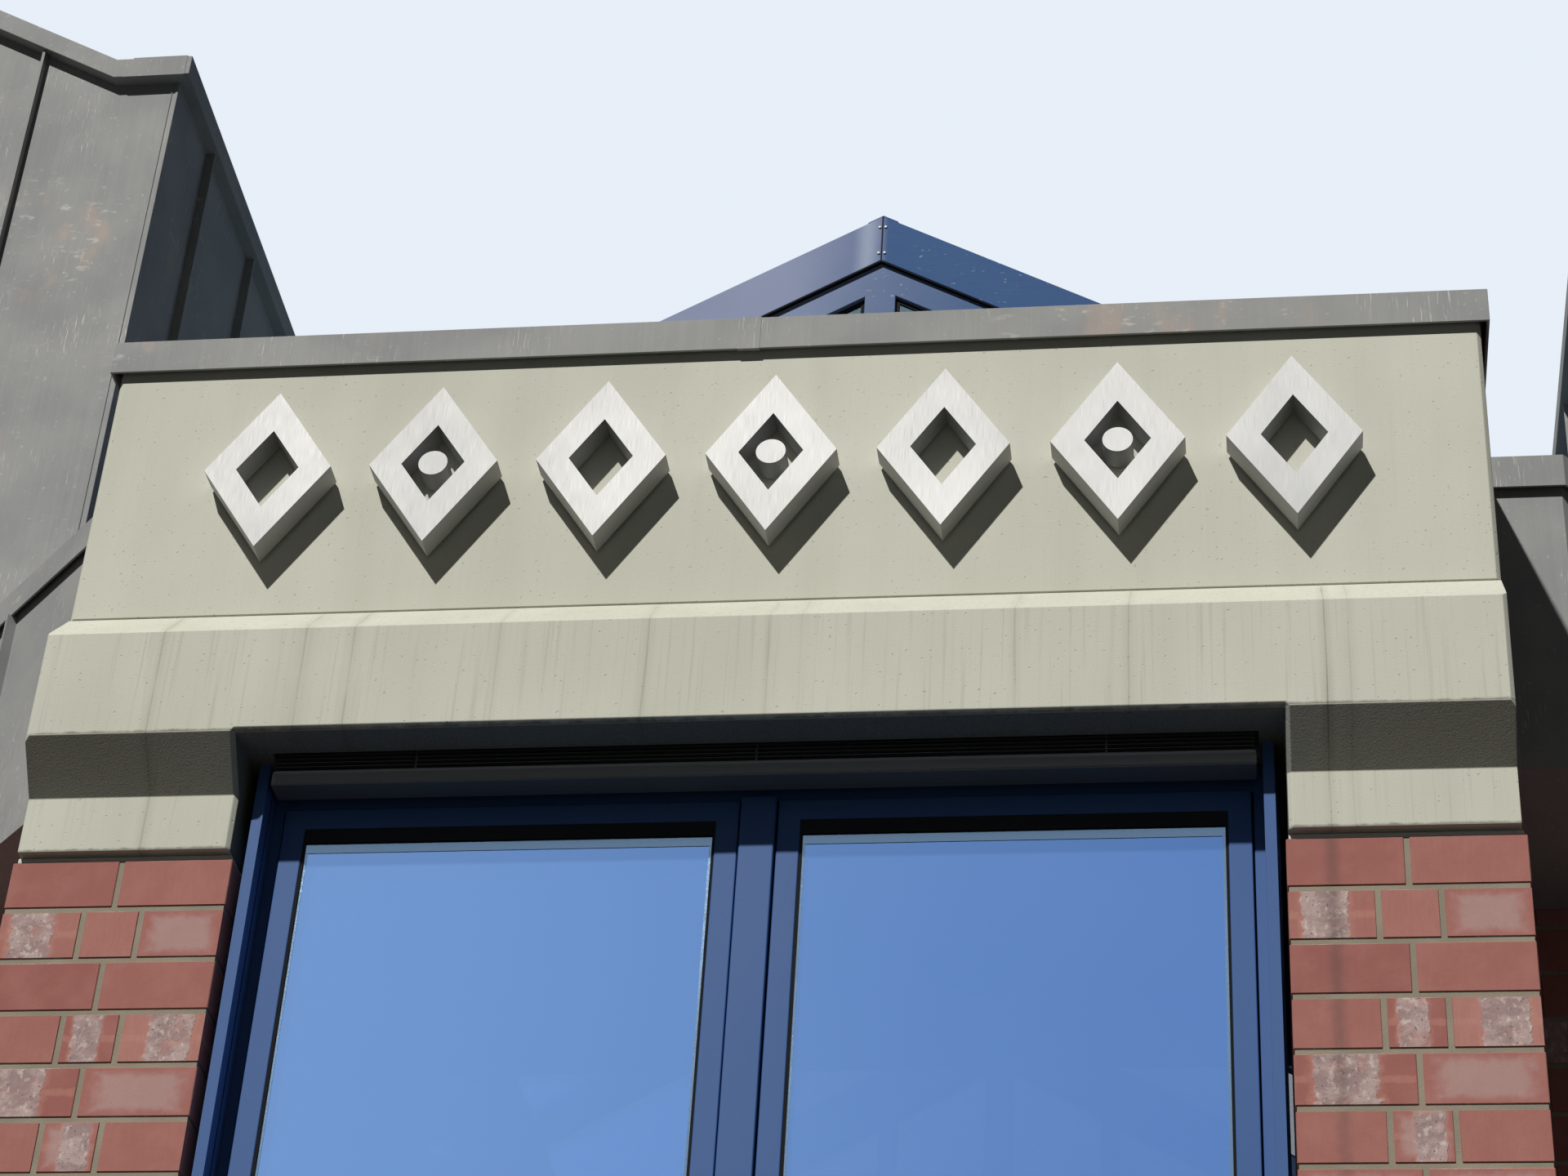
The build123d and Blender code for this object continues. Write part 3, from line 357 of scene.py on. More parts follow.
@dataclass(frozen=True)
class ClinkerBrick:
    """Matt red clinker; some bricks keep the pale upright mark of the brick stacked on them."""

    dark: Colour = tone(146, 92, 86)
    red: Colour = tone(157, 104, 97)
    light: Colour = tone(172, 124, 115)
    halo: Colour = tone(184, 134, 120)
    burnt: Colour = tone(148, 128, 128)
    mark: Colour = tone(176, 157, 154)
    fleck: Colour = tone(208, 198, 190)
    soot: Colour = tone(84, 72, 68)
    marked: float = 0.70
    half_mark: float = 0.25
    bloomed: float = 0.82
    run: float = 1.212
    run_half: float = 0.026
    run_fade: tuple[float, float] = (3.6, 5.2)

    def make(self) -> bpy.types.Material:
        """Builds the material.

        Returns:
            The material.
        """
        sheet = Sheet("clinker_brick", self.red, Roughness=0.9, Specular_IOR_Level=0.2)
        single = sheet.node("ShaderNodeNewGeometry", output="Random Per Island")
        other = (single * 37.7) % 1.0
        third = (single * 91.3) % 1.0
        level, upright = sheet.on_face("X"), sheet.on_face("Y")
        stops = ((0.0, self.dark), (0.2, self.red), (0.75, self.red), (1.0, self.light))
        sheet.colour = sheet.node("ShaderNodeValToRGB", {"stops": stops}, {"Fac": single})
        clouds = sheet.noise(12.0, 4.0).span(0.35, 0.7)
        grain = sheet.noise(420.0, 2.0)
        ragged = sheet.noise(55.0, 5.0) - 0.5
        sheet.coat(clouds * 0.3, self.light)
        picked = other.span(self.marked, self.marked + 0.02)
        away = abs(level - (third * 0.3 + 0.35)) + ragged * 0.16
        band = away.span(self.half_mark, self.half_mark + 0.03, 1.0, 0.0) * picked
        rim = away.span(self.half_mark, self.half_mark + 0.10, 0.55, 0.0) * picked
        line = (abs(upright - 0.5) + ragged * 0.12).span(0.04, 0.10, 0.4, 0.0) * picked
        sheet.coat(rim.most(line), self.halo)
        drawn = sheet.noise(130.0, 3.0, (1.0, 1.0, 0.12)).span(0.35, 0.75)
        sheet.coat(drawn * 0.22, self.dark)
        edge = abs(level - 0.5).most(abs(upright - 0.5)) + ragged * 0.22
        bloom = edge.span(0.26, 0.47, 0.5, 0.0) * third.span(self.bloomed, self.bloomed + 0.02)
        sheet.coat(bloom, self.mark)
        mottle = sheet.noise(30.0, 8.0).span(0.34, 0.66)
        marking = sheet.blend(mottle, self.burnt, self.mark)
        crust = sheet.noise(90.0, 6.0, (1.0, 1.0, 0.7)).span(0.54, 0.68)
        marking = sheet.blend(crust * 0.6, marking, self.fleck)
        cover = sheet.noise(20.0, 5.0).span(0.28, 0.46, 0.45, 0.92)
        sheet.coat(band * cover, marking)
        specks = sheet.noise(170.0, 2.0).span(0.66, 0.71)
        sheet.coat(specks * (band * 0.6 + 0.10), self.soot)
        run = abs(sheet.along("X") + ragged * 0.008 - self.run).span(0.0, self.run_half, 0.42, 0.0)
        sheet.coat(run * sheet.along("Z").span(*self.run_fade), self.soot)
        sheet.coat(grain.span(0.5, 0.75) * 0.25, self.dark)
        sheet.relief(grain * 0.3 + mottle * band * 1.2 + clouds * 0.5, 0.0018, 0.7)
        return sheet.material


@dataclass(frozen=True)
class PlainGrain:
    """A mineral surface: two shades in clouds, with a fine grain."""

    label: str
    first: Colour
    second: Colour
    clouds: float
    grain: float
    depth: float
    roughness: float = 0.9

    def make(self) -> bpy.types.Material:
        """Builds the material.

        Returns:
            The material.
        """
        sheet = Sheet(self.label, self.first, Roughness=self.roughness)
        clouds = sheet.noise(self.clouds, 5.0).span(0.3, 0.7)
        grain = sheet.noise(self.grain, 2.0)
        sheet.coat(clouds * 0.6 + grain * 0.4, self.second)
        sheet.relief(grain + clouds * 0.3, self.depth, 0.6)
        return sheet.material


@dataclass(frozen=True)
class WeatheredZinc:
    """Grey zinc sheet with soft clouds, upright streaks, brownish stains and pale scratches."""

    label: str
    base: Colour
    deep: Colour
    brown: Colour = tone(176, 158, 145)
    pale: Colour = tone(206, 201, 194)
    wear: float = 1.0

    def make(self) -> bpy.types.Material:
        """Builds the material.

        Returns:
            The material.
        """
        sheet = Sheet(self.label, self.base, Metallic=0.02, Specular_IOR_Level=0.0)
        clouds = sheet.noise(4.5, 9.0).span(0.30, 0.70)
        streaks = sheet.noise(46.0, 3.0, (1.0, 1.0, 0.03))
        sheet.coat(clouds * 0.7 + streaks * 0.3, self.deep)
        worn = sheet.noise(1.7, 4.0).span(0.50, 0.66)
        tinge = sheet.noise(7.5, 5.0, (1.0, 1.0, 0.6)).span(0.56, 0.70) * worn
        sheet.coat(tinge * (0.5 * self.wear), self.brown)
        rising = sheet.noise(260.0, 3.0, (1.0, 1.0, 0.05), 38).span(0.63, 0.70)
        falling = sheet.noise(280.0, 3.0, (1.0, 1.0, 0.05), -70).span(0.62, 0.70)
        scratch = rising.most(falling) * sheet.noise(4.2, 5.0).span(0.50, 0.60)
        pale_marks = (
            (sheet.noise(240.0, 5.0, (1.0, 1.0, 0.01), 3).span(0.40, 0.80), 0.06),
            (scratch, 0.6),
            (sheet.noise(22.0, 6.0, (1.0, 1.0, 2.2)).span(0.60, 0.72) * worn, 0.45),
            (sheet.noise(70.0, 3.0).span(0.66, 0.74), 0.3),
        )
        for mark, strength in pale_marks:
            sheet.coat(mark * (strength * self.wear), self.pale)
        sheet.feed("Roughness", (clouds * 0.4 + streaks * 0.6).span(0.0, 1.0, 0.50, 0.62))
        sheet.relief(sheet.noise(1.9, 2.0) * 0.9 + streaks * 0.08 - scratch * 0.1, 0.0011, 0.8)
        return sheet.material


@dataclass(frozen=True)
class CoatedMetal:
    """Coated or brushed metal: an even colour with faint clouds, a drawn grain and light dust."""

    label: str
    base: Colour
    dust: Colour
    metal: float = 0.0
    roughness: float = 0.35
    stretch: tuple[float, float, float] = (1.0, 1.0, 1.0)
    grain: float = 600.0
    depth: float = 0.00025
    dusty: float = 0.25
    gloss: float = 0.5

    def make(self) -> bpy.types.Material:
        """Builds the material.

        Returns:
            The material.
        """
        sheet = Sheet(self.label, self.base, Metallic=self.metal, Specular_IOR_Level=self.gloss)
        clouds = sheet.noise(3.0, 5.0, (1.0, 1.0, 0.5))
        grain = sheet.noise(self.grain, 2.0, self.stretch)
        sheet.coat(clouds.span(0.4, 0.75) * self.dusty, self.dust)
        least, most = self.roughness - 0.05, self.roughness + 0.09
        sheet.feed("Roughness", (clouds * 0.5 + grain * 0.5).span(0.3, 0.7, least, most))
        sheet.relief(grain, self.depth, 0.7)
        return sheet.material


@dataclass(frozen=True)
class BrushedSheet:
    """Bare brushed sheet with scuffs, whose colour fades from the left to the right as a painted reflection
    of the sky, with a painted highlight band where the fade ends.
    """

    label: str
    left: Colour
    right: Colour
    scuff_and_sheen: Colour
    fall: tuple[float, float] = (-0.35, -0.055)
    step: float = 0.5
    painted_sheen: float = 0.55

    def make(self) -> bpy.types.Material:
        """Builds the material.

        Returns:
            The material.
        """
        sheet = Sheet(self.label, self.left, Metallic=0.02, Specular_IOR_Level=0.0)
        across = sheet.along("X")
        clouds = sheet.noise(2.4, 4.0).span(0.3, 0.7) - 0.5
        # Painted reflection: the colour fades from the left colour to the right one, part of it in a step at
        # the middle.
        fall = (across + clouds * 0.1).span(*self.fall)
        sheet.coat(fall * (1.0 - self.step) + across.span(-0.004, 0.02) * self.step, self.right)
        drawn = sheet.noise(420.0, 3.0, (0.04, 1.0, 1.0), 30)
        sheet.coat(drawn.span(0.4, 0.7) * 0.06, self.left)
        # Painted highlight: a pale upright band where the fade ends.
        painted_sheen = abs(across - self.fall[1] + clouds * 0.03).span(0.0, 0.05, self.painted_sheen, 0.0)
        sheet.coat(painted_sheen, self.scuff_and_sheen)
        scuffs = sheet.noise(55.0, 6.0, (1.0, 1.0, 1.6)).span(0.63, 0.70)
        scuffs = scuffs * sheet.noise(4.0, 3.0).span(0.50, 0.64)
        sheet.coat(scuffs * 0.4, self.scuff_and_sheen)
        sheet.feed("Roughness", (clouds + drawn * 0.4).span(-0.5, 0.9, 0.46, 0.62))
        sheet.relief(drawn, 0.0002, 0.6)
        return sheet.material


@dataclass(frozen=True)
class TintedGlazing:
    """Insulating glass that lets part of the inside show; the blue it mirrors and its fade from left to
    right are a painted reflection of a sky.
    """

    label: str
    left: Colour
    right: Colour
    cover: float
    reach: float = 1.1

    def make(self) -> bpy.types.Material:
        """Builds the material.

        Returns:
            The material.
        """
        sheet = Sheet(self.label, self.left, Metallic=0.85, Alpha=self.cover)
        # Painted reflection: lighter at the left, darker at the right.
        sheet.coat(sheet.along("X").span(-self.reach, self.reach), self.right)
        sheet.coat(sheet.noise(1.2, 3.0).span(0.35, 0.75) * 0.12, self.left)
        sheet.feed("Roughness", sheet.noise(9.0, 4.0).span(0.6, 0.8, 0.02, 0.09))
        sheet.relief(sheet.noise(1.1, 1.0), 0.0012, 0.25)
        return sheet.material


class Stuff(Enum):
    """Every finish of the object, by what it is."""

    CONCRETE = PrecastConcrete()
    BRICK = ClinkerBrick()
    MORTAR = PlainGrain("mortar", tone(146, 137, 120), tone(124, 117, 102), 9.0, 330.0, 0.0015)
    PLASTER = PlainGrain("plaster", tone(214, 211, 203), tone(200, 197, 189), 2.0, 240.0, 0.0006)
    SCREED = PlainGrain("floor_screed", tone(150, 147, 140), tone(126, 124, 118), 2.5, 160.0, 0.0004, 0.55)
    FELT = PlainGrain("roof_felt", tone(112, 113, 112), tone(84, 86, 86), 1.8, 520.0, 0.0022)
    ZINC = WeatheredZinc("weathered_zinc", tone(151, 152, 151), tone(137, 139, 140))
    ROOF_ZINC = WeatheredZinc("roof_zinc", tone(147, 148, 146), tone(134, 136, 136), wear=0.6)
    BLUE = CoatedMetal("blue_coating", tone(60, 91, 142), tone(79, 107, 154), roughness=0.5, gloss=0.12)
    # The left and right colours of these brushed finishes are a painted reflection of the sky; the third
    # colour also paints the highlight band.
    COOL = BrushedSheet("skylight_metal", tone(133, 142, 169), tone(65, 91, 132), tone(168, 178, 196))
    GABLE = BrushedSheet(
        "gable_metal", tone(124, 136, 164), tone(78, 100, 138), tone(180, 188, 202), (-0.40, 0.35), 0.0, 0.2,
    )
    KERB = BrushedSheet(
        "kerb_metal", tone(98, 113, 146), tone(84, 102, 140), tone(150, 162, 184), (-1.7, 1.7), 0.0, 0.0,
    )
    STEEL = CoatedMetal(
        "brushed_steel", tone(174, 174, 172), tone(162, 162, 160), metal=0.5, roughness=0.66,
        stretch=(1.0, 1.0, 0.02), grain=900.0, depth=0.0002,
    )
    SLAT = CoatedMetal("blind_slat", tone(98, 100, 99), tone(118, 118, 114), metal=0.2, roughness=0.5)
    RUBBER = CoatedMetal(
        "black_rubber", tone(10, 11, 13), tone(20, 21, 23), roughness=0.7, dusty=0.4, gloss=0.1,
    )
    # The pale blue-grey of the pane edges is a painted reflection of the sky.
    EDGE = CoatedMetal("pane_edge", tone(108, 132, 156), tone(122, 144, 164), metal=0.85, roughness=0.12)
    # The blue of the glazing and its fade from left to right are a painted reflection of the sky.
    GLASS = TintedGlazing("portal_glass", tone(132, 172, 228), tone(106, 146, 208), 0.84)
    SIDE_GLASS = TintedGlazing("window_glass", tone(112, 146, 198), tone(104, 138, 194), 0.82, 4.0)
    ROOF_GLASS = TintedGlazing("roof_glass", tone(150, 172, 184), tone(140, 164, 180), 0.5, 2.0)


@cache
def material_of(stuff: Stuff) -> bpy.types.Material:
    """The material of a finish, built at its first use."""
    return stuff.value.make()


def pick(*pieces: Piece) -> None:
    """Selects these pieces alone, the first one active.

    Args:
        pieces: The pieces.
    """
    bpy.ops.object.select_all(action="DESELECT")
    for piece in pieces:
        piece.select_set(True)
    bpy.context.view_layer.objects.active = pieces[0]


def settle(piece: Piece) -> Piece:
    """Puts a piece's place, turn and size into its mesh.

    Args:
        piece: The piece.

    Returns:
        The same piece.
    """
    pick(piece)
    bpy.ops.object.transform_apply(location=True, rotation=True, scale=True)
    return piece


def block(low: Point, high: Point) -> Piece:
    """Makes a block.

    Args:
        low: Its low corner.
        high: Its high corner.

    Returns:
        The block.
    """
    low, high = Vector(low), Vector(high)
    bpy.ops.object.select_all(action="DESELECT")
    bpy.ops.mesh.primitive_cube_add(size=1.0, location=(low + high) / 2)
    bpy.context.object.scale = high - low
    return settle(bpy.context.object)


def round_bar(
    foot: Point, head: Point, radius: float, sides: int, wear: float, segments: int = 1,
) -> Piece:
    """Makes a round bar with rounded rims.

    Args:
        foot: Middle of its start.
        head: Middle of its end.
        radius: Its radius.
        sides: Number of its sides.
        wear: Width of the rounded rims.
        segments: Faces across them.

    Returns:
        The bar.
    """
    foot, way = Vector(foot), Vector(head) - Vector(foot)
    bpy.ops.object.select_all(action="DESELECT")
    bpy.ops.mesh.primitive_cylinder_add(
        vertices=sides, radius=radius, depth=way.length, location=foot + way / 2,
    )
    bpy.context.object.rotation_euler = way.to_track_quat("Z", "Y").to_euler()
    return soften(settle(bpy.context.object), wear, segments)


def folded_strip(low: Point, high: Point, axis: int, rise: float) -> Piece:
    """Makes a flat strip and lifts its middle line into a fold.

    Args:
        low: Low corner of the flat strip.
        high: High corner of the flat strip.
        axis: Axis across the fold, 0 for X and 1 for Y.
        rise: How far the middle line is lifted.

    Returns:
        The strip.
    """
    piece = block(low, high)
    middle = (low[axis] + high[axis]) / 2
    with editing(piece, faces=lambda centre, normal: abs(normal.z) > FACING):
        bpy.ops.mesh.subdivide(number_cuts=1)
    with editing(piece, points=lambda point: abs(point[axis] - middle) < NEAR):
        bpy.ops.transform.translate(value=(0.0, 0.0, rise))
    return piece


@contextmanager
def editing(
    piece: Piece, faces: FaceTest | None = None, points: PointTest | None = None,
) -> Iterator[None]:
    """Holds a piece in edit mode with the chosen faces or points selected, or all of it.

    Args:
        piece: The piece to edit.
        faces: Test on a face's middle and normal.
        points: Test on a point.

    Returns:
        A context for the operators.
    """
    pick(piece)
    bpy.ops.object.mode_set(mode="EDIT")
    bpy.ops.mesh.select_mode(type="FACE" if faces else "VERT")
    bpy.ops.mesh.select_all(action="DESELECT" if faces or points else "SELECT")
    bpy.ops.object.mode_set(mode="OBJECT")
    if faces:
        for face in piece.data.polygons:
            face.select = faces(face.center, face.normal)
    elif points:
        for point in piece.data.vertices:
            point.select = points(point.co)
    bpy.ops.object.mode_set(mode="EDIT")
    yield
    bpy.ops.object.mode_set(mode="OBJECT")


def modify(piece: Piece, kind: str, **settings: object) -> Piece:
    """Adds one modifier and applies it.

    Args:
        piece: The piece.
        kind: Type of the modifier.
        settings: Its settings.

    Returns:
        The same piece.
    """
    pick(piece)
    modifier = piece.modifiers.new(kind.lower(), kind)
    for name, value in settings.items():
        setattr(modifier, name, value)
    bpy.ops.object.modifier_apply(modifier=modifier.name)
    return piece


def soften(piece: Piece, width: float, segments: int = 2) -> Piece:
    """Rounds the sharp edges of a piece.

    Args:
        piece: The piece.
        width: Width of the rounding.
        segments: Faces across it.

    Returns:
        The same piece.
    """
    limits = {"limit_method": "ANGLE", "angle_limit": SHARP}
    modify(piece, "BEVEL", width=width, segments=segments, **limits)
    pick(piece)
    bpy.ops.object.shade_smooth_by_angle(angle=SMOOTH)
    return modify(piece, "WEIGHTED_NORMAL", mode="FACE_AREA", weight=50, keep_sharp=True)


def repeat(piece: Piece, count: int, step: Point) -> Piece:
    """Repeats a piece in a row inside its own mesh.

    Args:
        piece: The piece.
        count: How many there are in the end.
        step: Way from one to the next.

    Returns:
        The same piece.
    """
    if count < 2:
        return piece
    offset = {"use_relative_offset": False, "use_constant_offset": True}
    return modify(piece, "ARRAY", count=count, constant_offset_displace=step, **offset)


def stamp(piece: Piece, place: Point, size: Point = (1.0, 1.0, 1.0)) -> Piece:
    """Copies a piece with a mesh of its own.

    Args:
        piece: The piece.
        place: Where the copy goes.
        size: Its scale.

    Returns:
        The copy.
    """
    pick(piece)
    bpy.ops.object.duplicate(linked=False)
    bpy.context.object.location = place
    bpy.context.object.scale = size
    return bpy.context.object


def join(pieces: Sequence[Piece]) -> Piece:
    """Joins pieces.

    Args:
        pieces: The pieces.

    Returns:
        The first one, which holds them all.
    """
    pick(*pieces)
    if len(pieces) > 1:
        bpy.ops.object.join()
    return settle(pieces[0])


def copy_node(node: str) -> Piece:
    """Copies a CAD node, merges its doubles and makes its flat faces whole.

    Args:
        node: Name of the node.

    Returns:
        The copy.
    """
    piece = bpy.data.objects.new(node + "_copy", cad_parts[node].data.copy())
    bpy.context.scene.collection.objects.link(piece)
    piece.data.materials.clear()
    with editing(piece):
        bpy.ops.mesh.remove_doubles(threshold=0.00002)
        bpy.ops.mesh.dissolve_limited(angle_limit=math.radians(0.5))
    return piece


def clip(piece: Piece, point: Point, normal: Point) -> None:
    """Cuts a piece at a plane, drops what lies on the normal's side and closes the cut."""
    with editing(piece):
        bpy.ops.mesh.bisect(plane_co=point, plane_no=normal, use_fill=True, clear_outer=True)


def make_rims(piece: Piece, faces: FaceTest, width: float, thickness: float) -> Piece:
    """Turns the chosen faces of a piece into thin flat rims and drops the rest.

    Args:
        piece: The piece to work on.
        faces: Test on a face's middle and normal.
        width: Width of the rim.
        thickness: How far the rim stands out.

    Returns:
        The piece, now only rims.
    """
    with editing(piece, faces=faces):
        bpy.ops.mesh.inset(thickness=width, depth=0.0, use_individual=True, use_select_inset=True)
        bpy.ops.mesh.select_all(action="INVERT")
        bpy.ops.mesh.delete(type="FACE")
    return modify(piece, "SOLIDIFY", thickness=thickness, offset=1.0)


def paint(piece: Piece, *stuffs: Stuff) -> Piece:
    """Gives a piece its finishes.

    Args:
        piece: The piece.
        stuffs: Its finishes, the first one on every face.

    Returns:
        The same piece.
    """
    piece.data.materials.clear()
    for stuff in stuffs:
        piece.data.materials.append(material_of(stuff))
    return piece


def hand_over(
    parts: Sequence[Piece], name: str, stuff: Stuff | None = None, replaces: str | None = None,
) -> None:
    """Joins parts to a finished piece, names it and ties it to the frame.

    Args:
        parts: The parts, painted already where no finish is given.
        name: The piece's name.
        stuff: The piece's finish.
        replaces: CAD node that it stands for.
    """
    piece = join(parts)
    if stuff:
        paint(piece, stuff)
    piece.name = name
    piece.data.name = name
    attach(piece, BODY)
    if replaces:
        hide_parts(replaces)
    log.info("%s: %d faces", name, len(piece.data.polygons))


@dataclass(frozen=True)
class Opening:
    """A window in a wall, in metres along and up the wall."""

    start: float
    end: float
    foot: float
    head: float


class BrickMould:
    """One brick, modelled once at its real size with worn edges."""

    def __init__(self, wear: float = 0.0018) -> None:
        """Makes the brick at the origin.

        Args:
            wear: Width of the rounded edges.
        """
        self.brick = block((0.0, 0.0, 0.0), BRICK)
        modify(self.brick, "BEVEL", width=wear, segments=1)
        mesh = self.brick.data
        while mesh.uv_layers:
            mesh.uv_layers.remove(mesh.uv_layers[0])
        for corner, spot in zip(mesh.loops, mesh.uv_layers.new(name=FACE_MAP).data):
            point = mesh.vertices[corner.vertex_index].co
            spot.uv = (point.x / BRICK[0], point.z / BRICK[2])

    def lay(self, place: Point, size: Point) -> Piece:
        """Lays one brick with its low corner at place."""
        return stamp(self.brick, place, [part / whole for part, whole in zip(size, BRICK)])

    def clear(self) -> None:
        """Takes the mould away."""
        bpy.data.objects.remove(self.brick)


@dataclass
class BrickWall:
    """A wall in stretcher bond with soldier courses over its windows.

    The wall starts at corner and runs along X before its turn. corners tells at which ends its
    courses interlock with a neighbour's, swapped which of the two starts, first is its lowest
    course, and reach limits the bricks to a part of the length.
    """

    corner: tuple[float, float]
    turn: float
    length: float
    head: float
    openings: tuple[Opening, ...] = ()
    corners: tuple[bool, bool] = (False, False)
    swapped: bool = False
    first: int = 0
    reach: tuple[float, float] | None = None
    overlap: float = 0.002

    def step_back(self, course: int) -> float:
        """How far a course stops behind its neighbour's brick at a corner."""
        return BRICK[1] + JOINT if (course % 2 == 1) != self.swapped else 0.0

    def intervals(self, course: int) -> list[tuple[float, float]]:
        """Finds the stretches of a course that hold bricks.

        Args:
            course: Number of the course.

        Returns:
            Start and end of each stretch.
        """
        middle = (course + 0.5) * COURSE
        back = self.step_back(course)
        start = back if self.corners[0] else 0.0
        end = self.length - back if self.corners[1] else self.length
        spans = [self.reach or (start, end)]
        for opening in self.openings:
            if opening.foot < middle < opening.head + 2 * COURSE:
                edge = self.overlap if middle < opening.head else 0.0
                cut = (opening.start + edge, opening.end - edge)
                before = [(left, min(right, cut[0])) for left, right in spans]
                after = [(max(left, cut[1]), right) for left, right in spans]
                halves = [half for pair in zip(before, after) for half in pair]
                spans = [(left, right) for left, right in halves if right > left]
        return spans

    def bricks(self, course: int) -> tuple[tuple[float, float], ...]:
        """Shares a course out in bricks.

        Args:
            course: Number of the course.

        Returns:
            Start and width of every brick.
        """
        shift = self.step_back(course)
        step = BRICK[0] + JOINT
        found = []
        for left, right in self.intervals(course):
            number = math.floor((left - shift) / step)
            while shift + number * step < right:
                begin = max(left, shift + number * step)
                finish = min(right, shift + number * step + BRICK[0])
                if finish - begin > self.overlap:
                    found.append((round(begin, 4), round(finish - begin, 4)))
                number += 1
        return tuple(found)

    def build_rows(self, mould: BrickMould) -> list[Piece]:
        """Lays each different course once and repeats it up the wall.

        Args:
            mould: The brick.

        Returns:
            The rows.
        """
        made = []
        full = int(self.head / COURSE + 0.001)
        top = full * COURSE + JOINT
        rest = self.head - top
        if rest > self.overlap:
            cut = [mould.lay((start, 0.0, top), (wide, BRICK[1], rest)) for start, wide in self.bricks(full)]
            made.append(join(cut))
        rows: dict[tuple[tuple[float, float], ...], list[int]] = {}
        for course in range(self.first, full):
            rows.setdefault(self.bricks(course), []).append(course)
        for bricks, courses in rows.items():
            row = join([mould.lay((start, 0.0, JOINT), (wide, *BRICK[1:])) for start, wide in bricks])
            while courses:
                run = [courses.pop(0)]
                while courses and courses[0] == run[-1] + 2:
                    run.append(courses.pop(0))
                stack = settle(stamp(row, (0.0, 0.0, run[0] * COURSE)))
                made.append(repeat(stack, len(run), (0.0, 0.0, 2 * COURSE)))
            bpy.data.objects.remove(row)
        return made

    def build_soldiers(self, mould: BrickMould) -> list[Piece]:
        """Stands bricks on end over every window.

        Args:
            mould: The brick.

        Returns:
            The soldier courses.
        """
        made = []
        for opening in self.openings:
            width = opening.end - opening.start + JOINT
            count = int(width / COURSE)
            step = width / count
            foot = (opening.start, 0.0, opening.head - self.overlap)
            first = mould.lay(foot, (step - JOINT, BRICK[1], 2 * COURSE + self.overlap))
            made.append(repeat(settle(first), count, (step, 0.0, 0.0)))
        return made

    def build(self, mould: BrickMould) -> Piece:
        """Lays the whole wall and puts it in its place.

        Args:
            mould: The brick.

        Returns:
            The wall's shell of bricks.
        """
        shell = join(self.build_rows(mould) + self.build_soldiers(mould))
        shell.rotation_euler = (0.0, 0.0, math.radians(self.turn))
        shell.location = (*self.corner, 0.0)
        return paint(settle(shell), Stuff.BRICK)


@dataclass
class WallCore:
    """The mortar body of a wall, set back behind its bricks, with plaster on the inside.

    A plane is its axis, its place and the way along the axis to the wall's inside.
    """

    node: str
    planes: tuple[tuple[int, float, int], ...]
    inside: FaceTest

    def build(self) -> Piece:
        """Copies the wall's node and sets its outer planes back.

        Returns:
            The core.
        """
        core = copy_node(self.node)
        for axis, place, inward in self.planes:
            move = [0.0, 0.0, 0.0]
            move[axis] = inward * MORTAR_DEPTH
            with editing(core, points=lambda point: abs(point[axis] - place) < NEAR):
                bpy.ops.transform.translate(value=move)
        paint(core, Stuff.MORTAR, Stuff.PLASTER)
        for face in core.data.polygons:
            face.material_index = int(self.inside(face.center, face.normal))
        return core


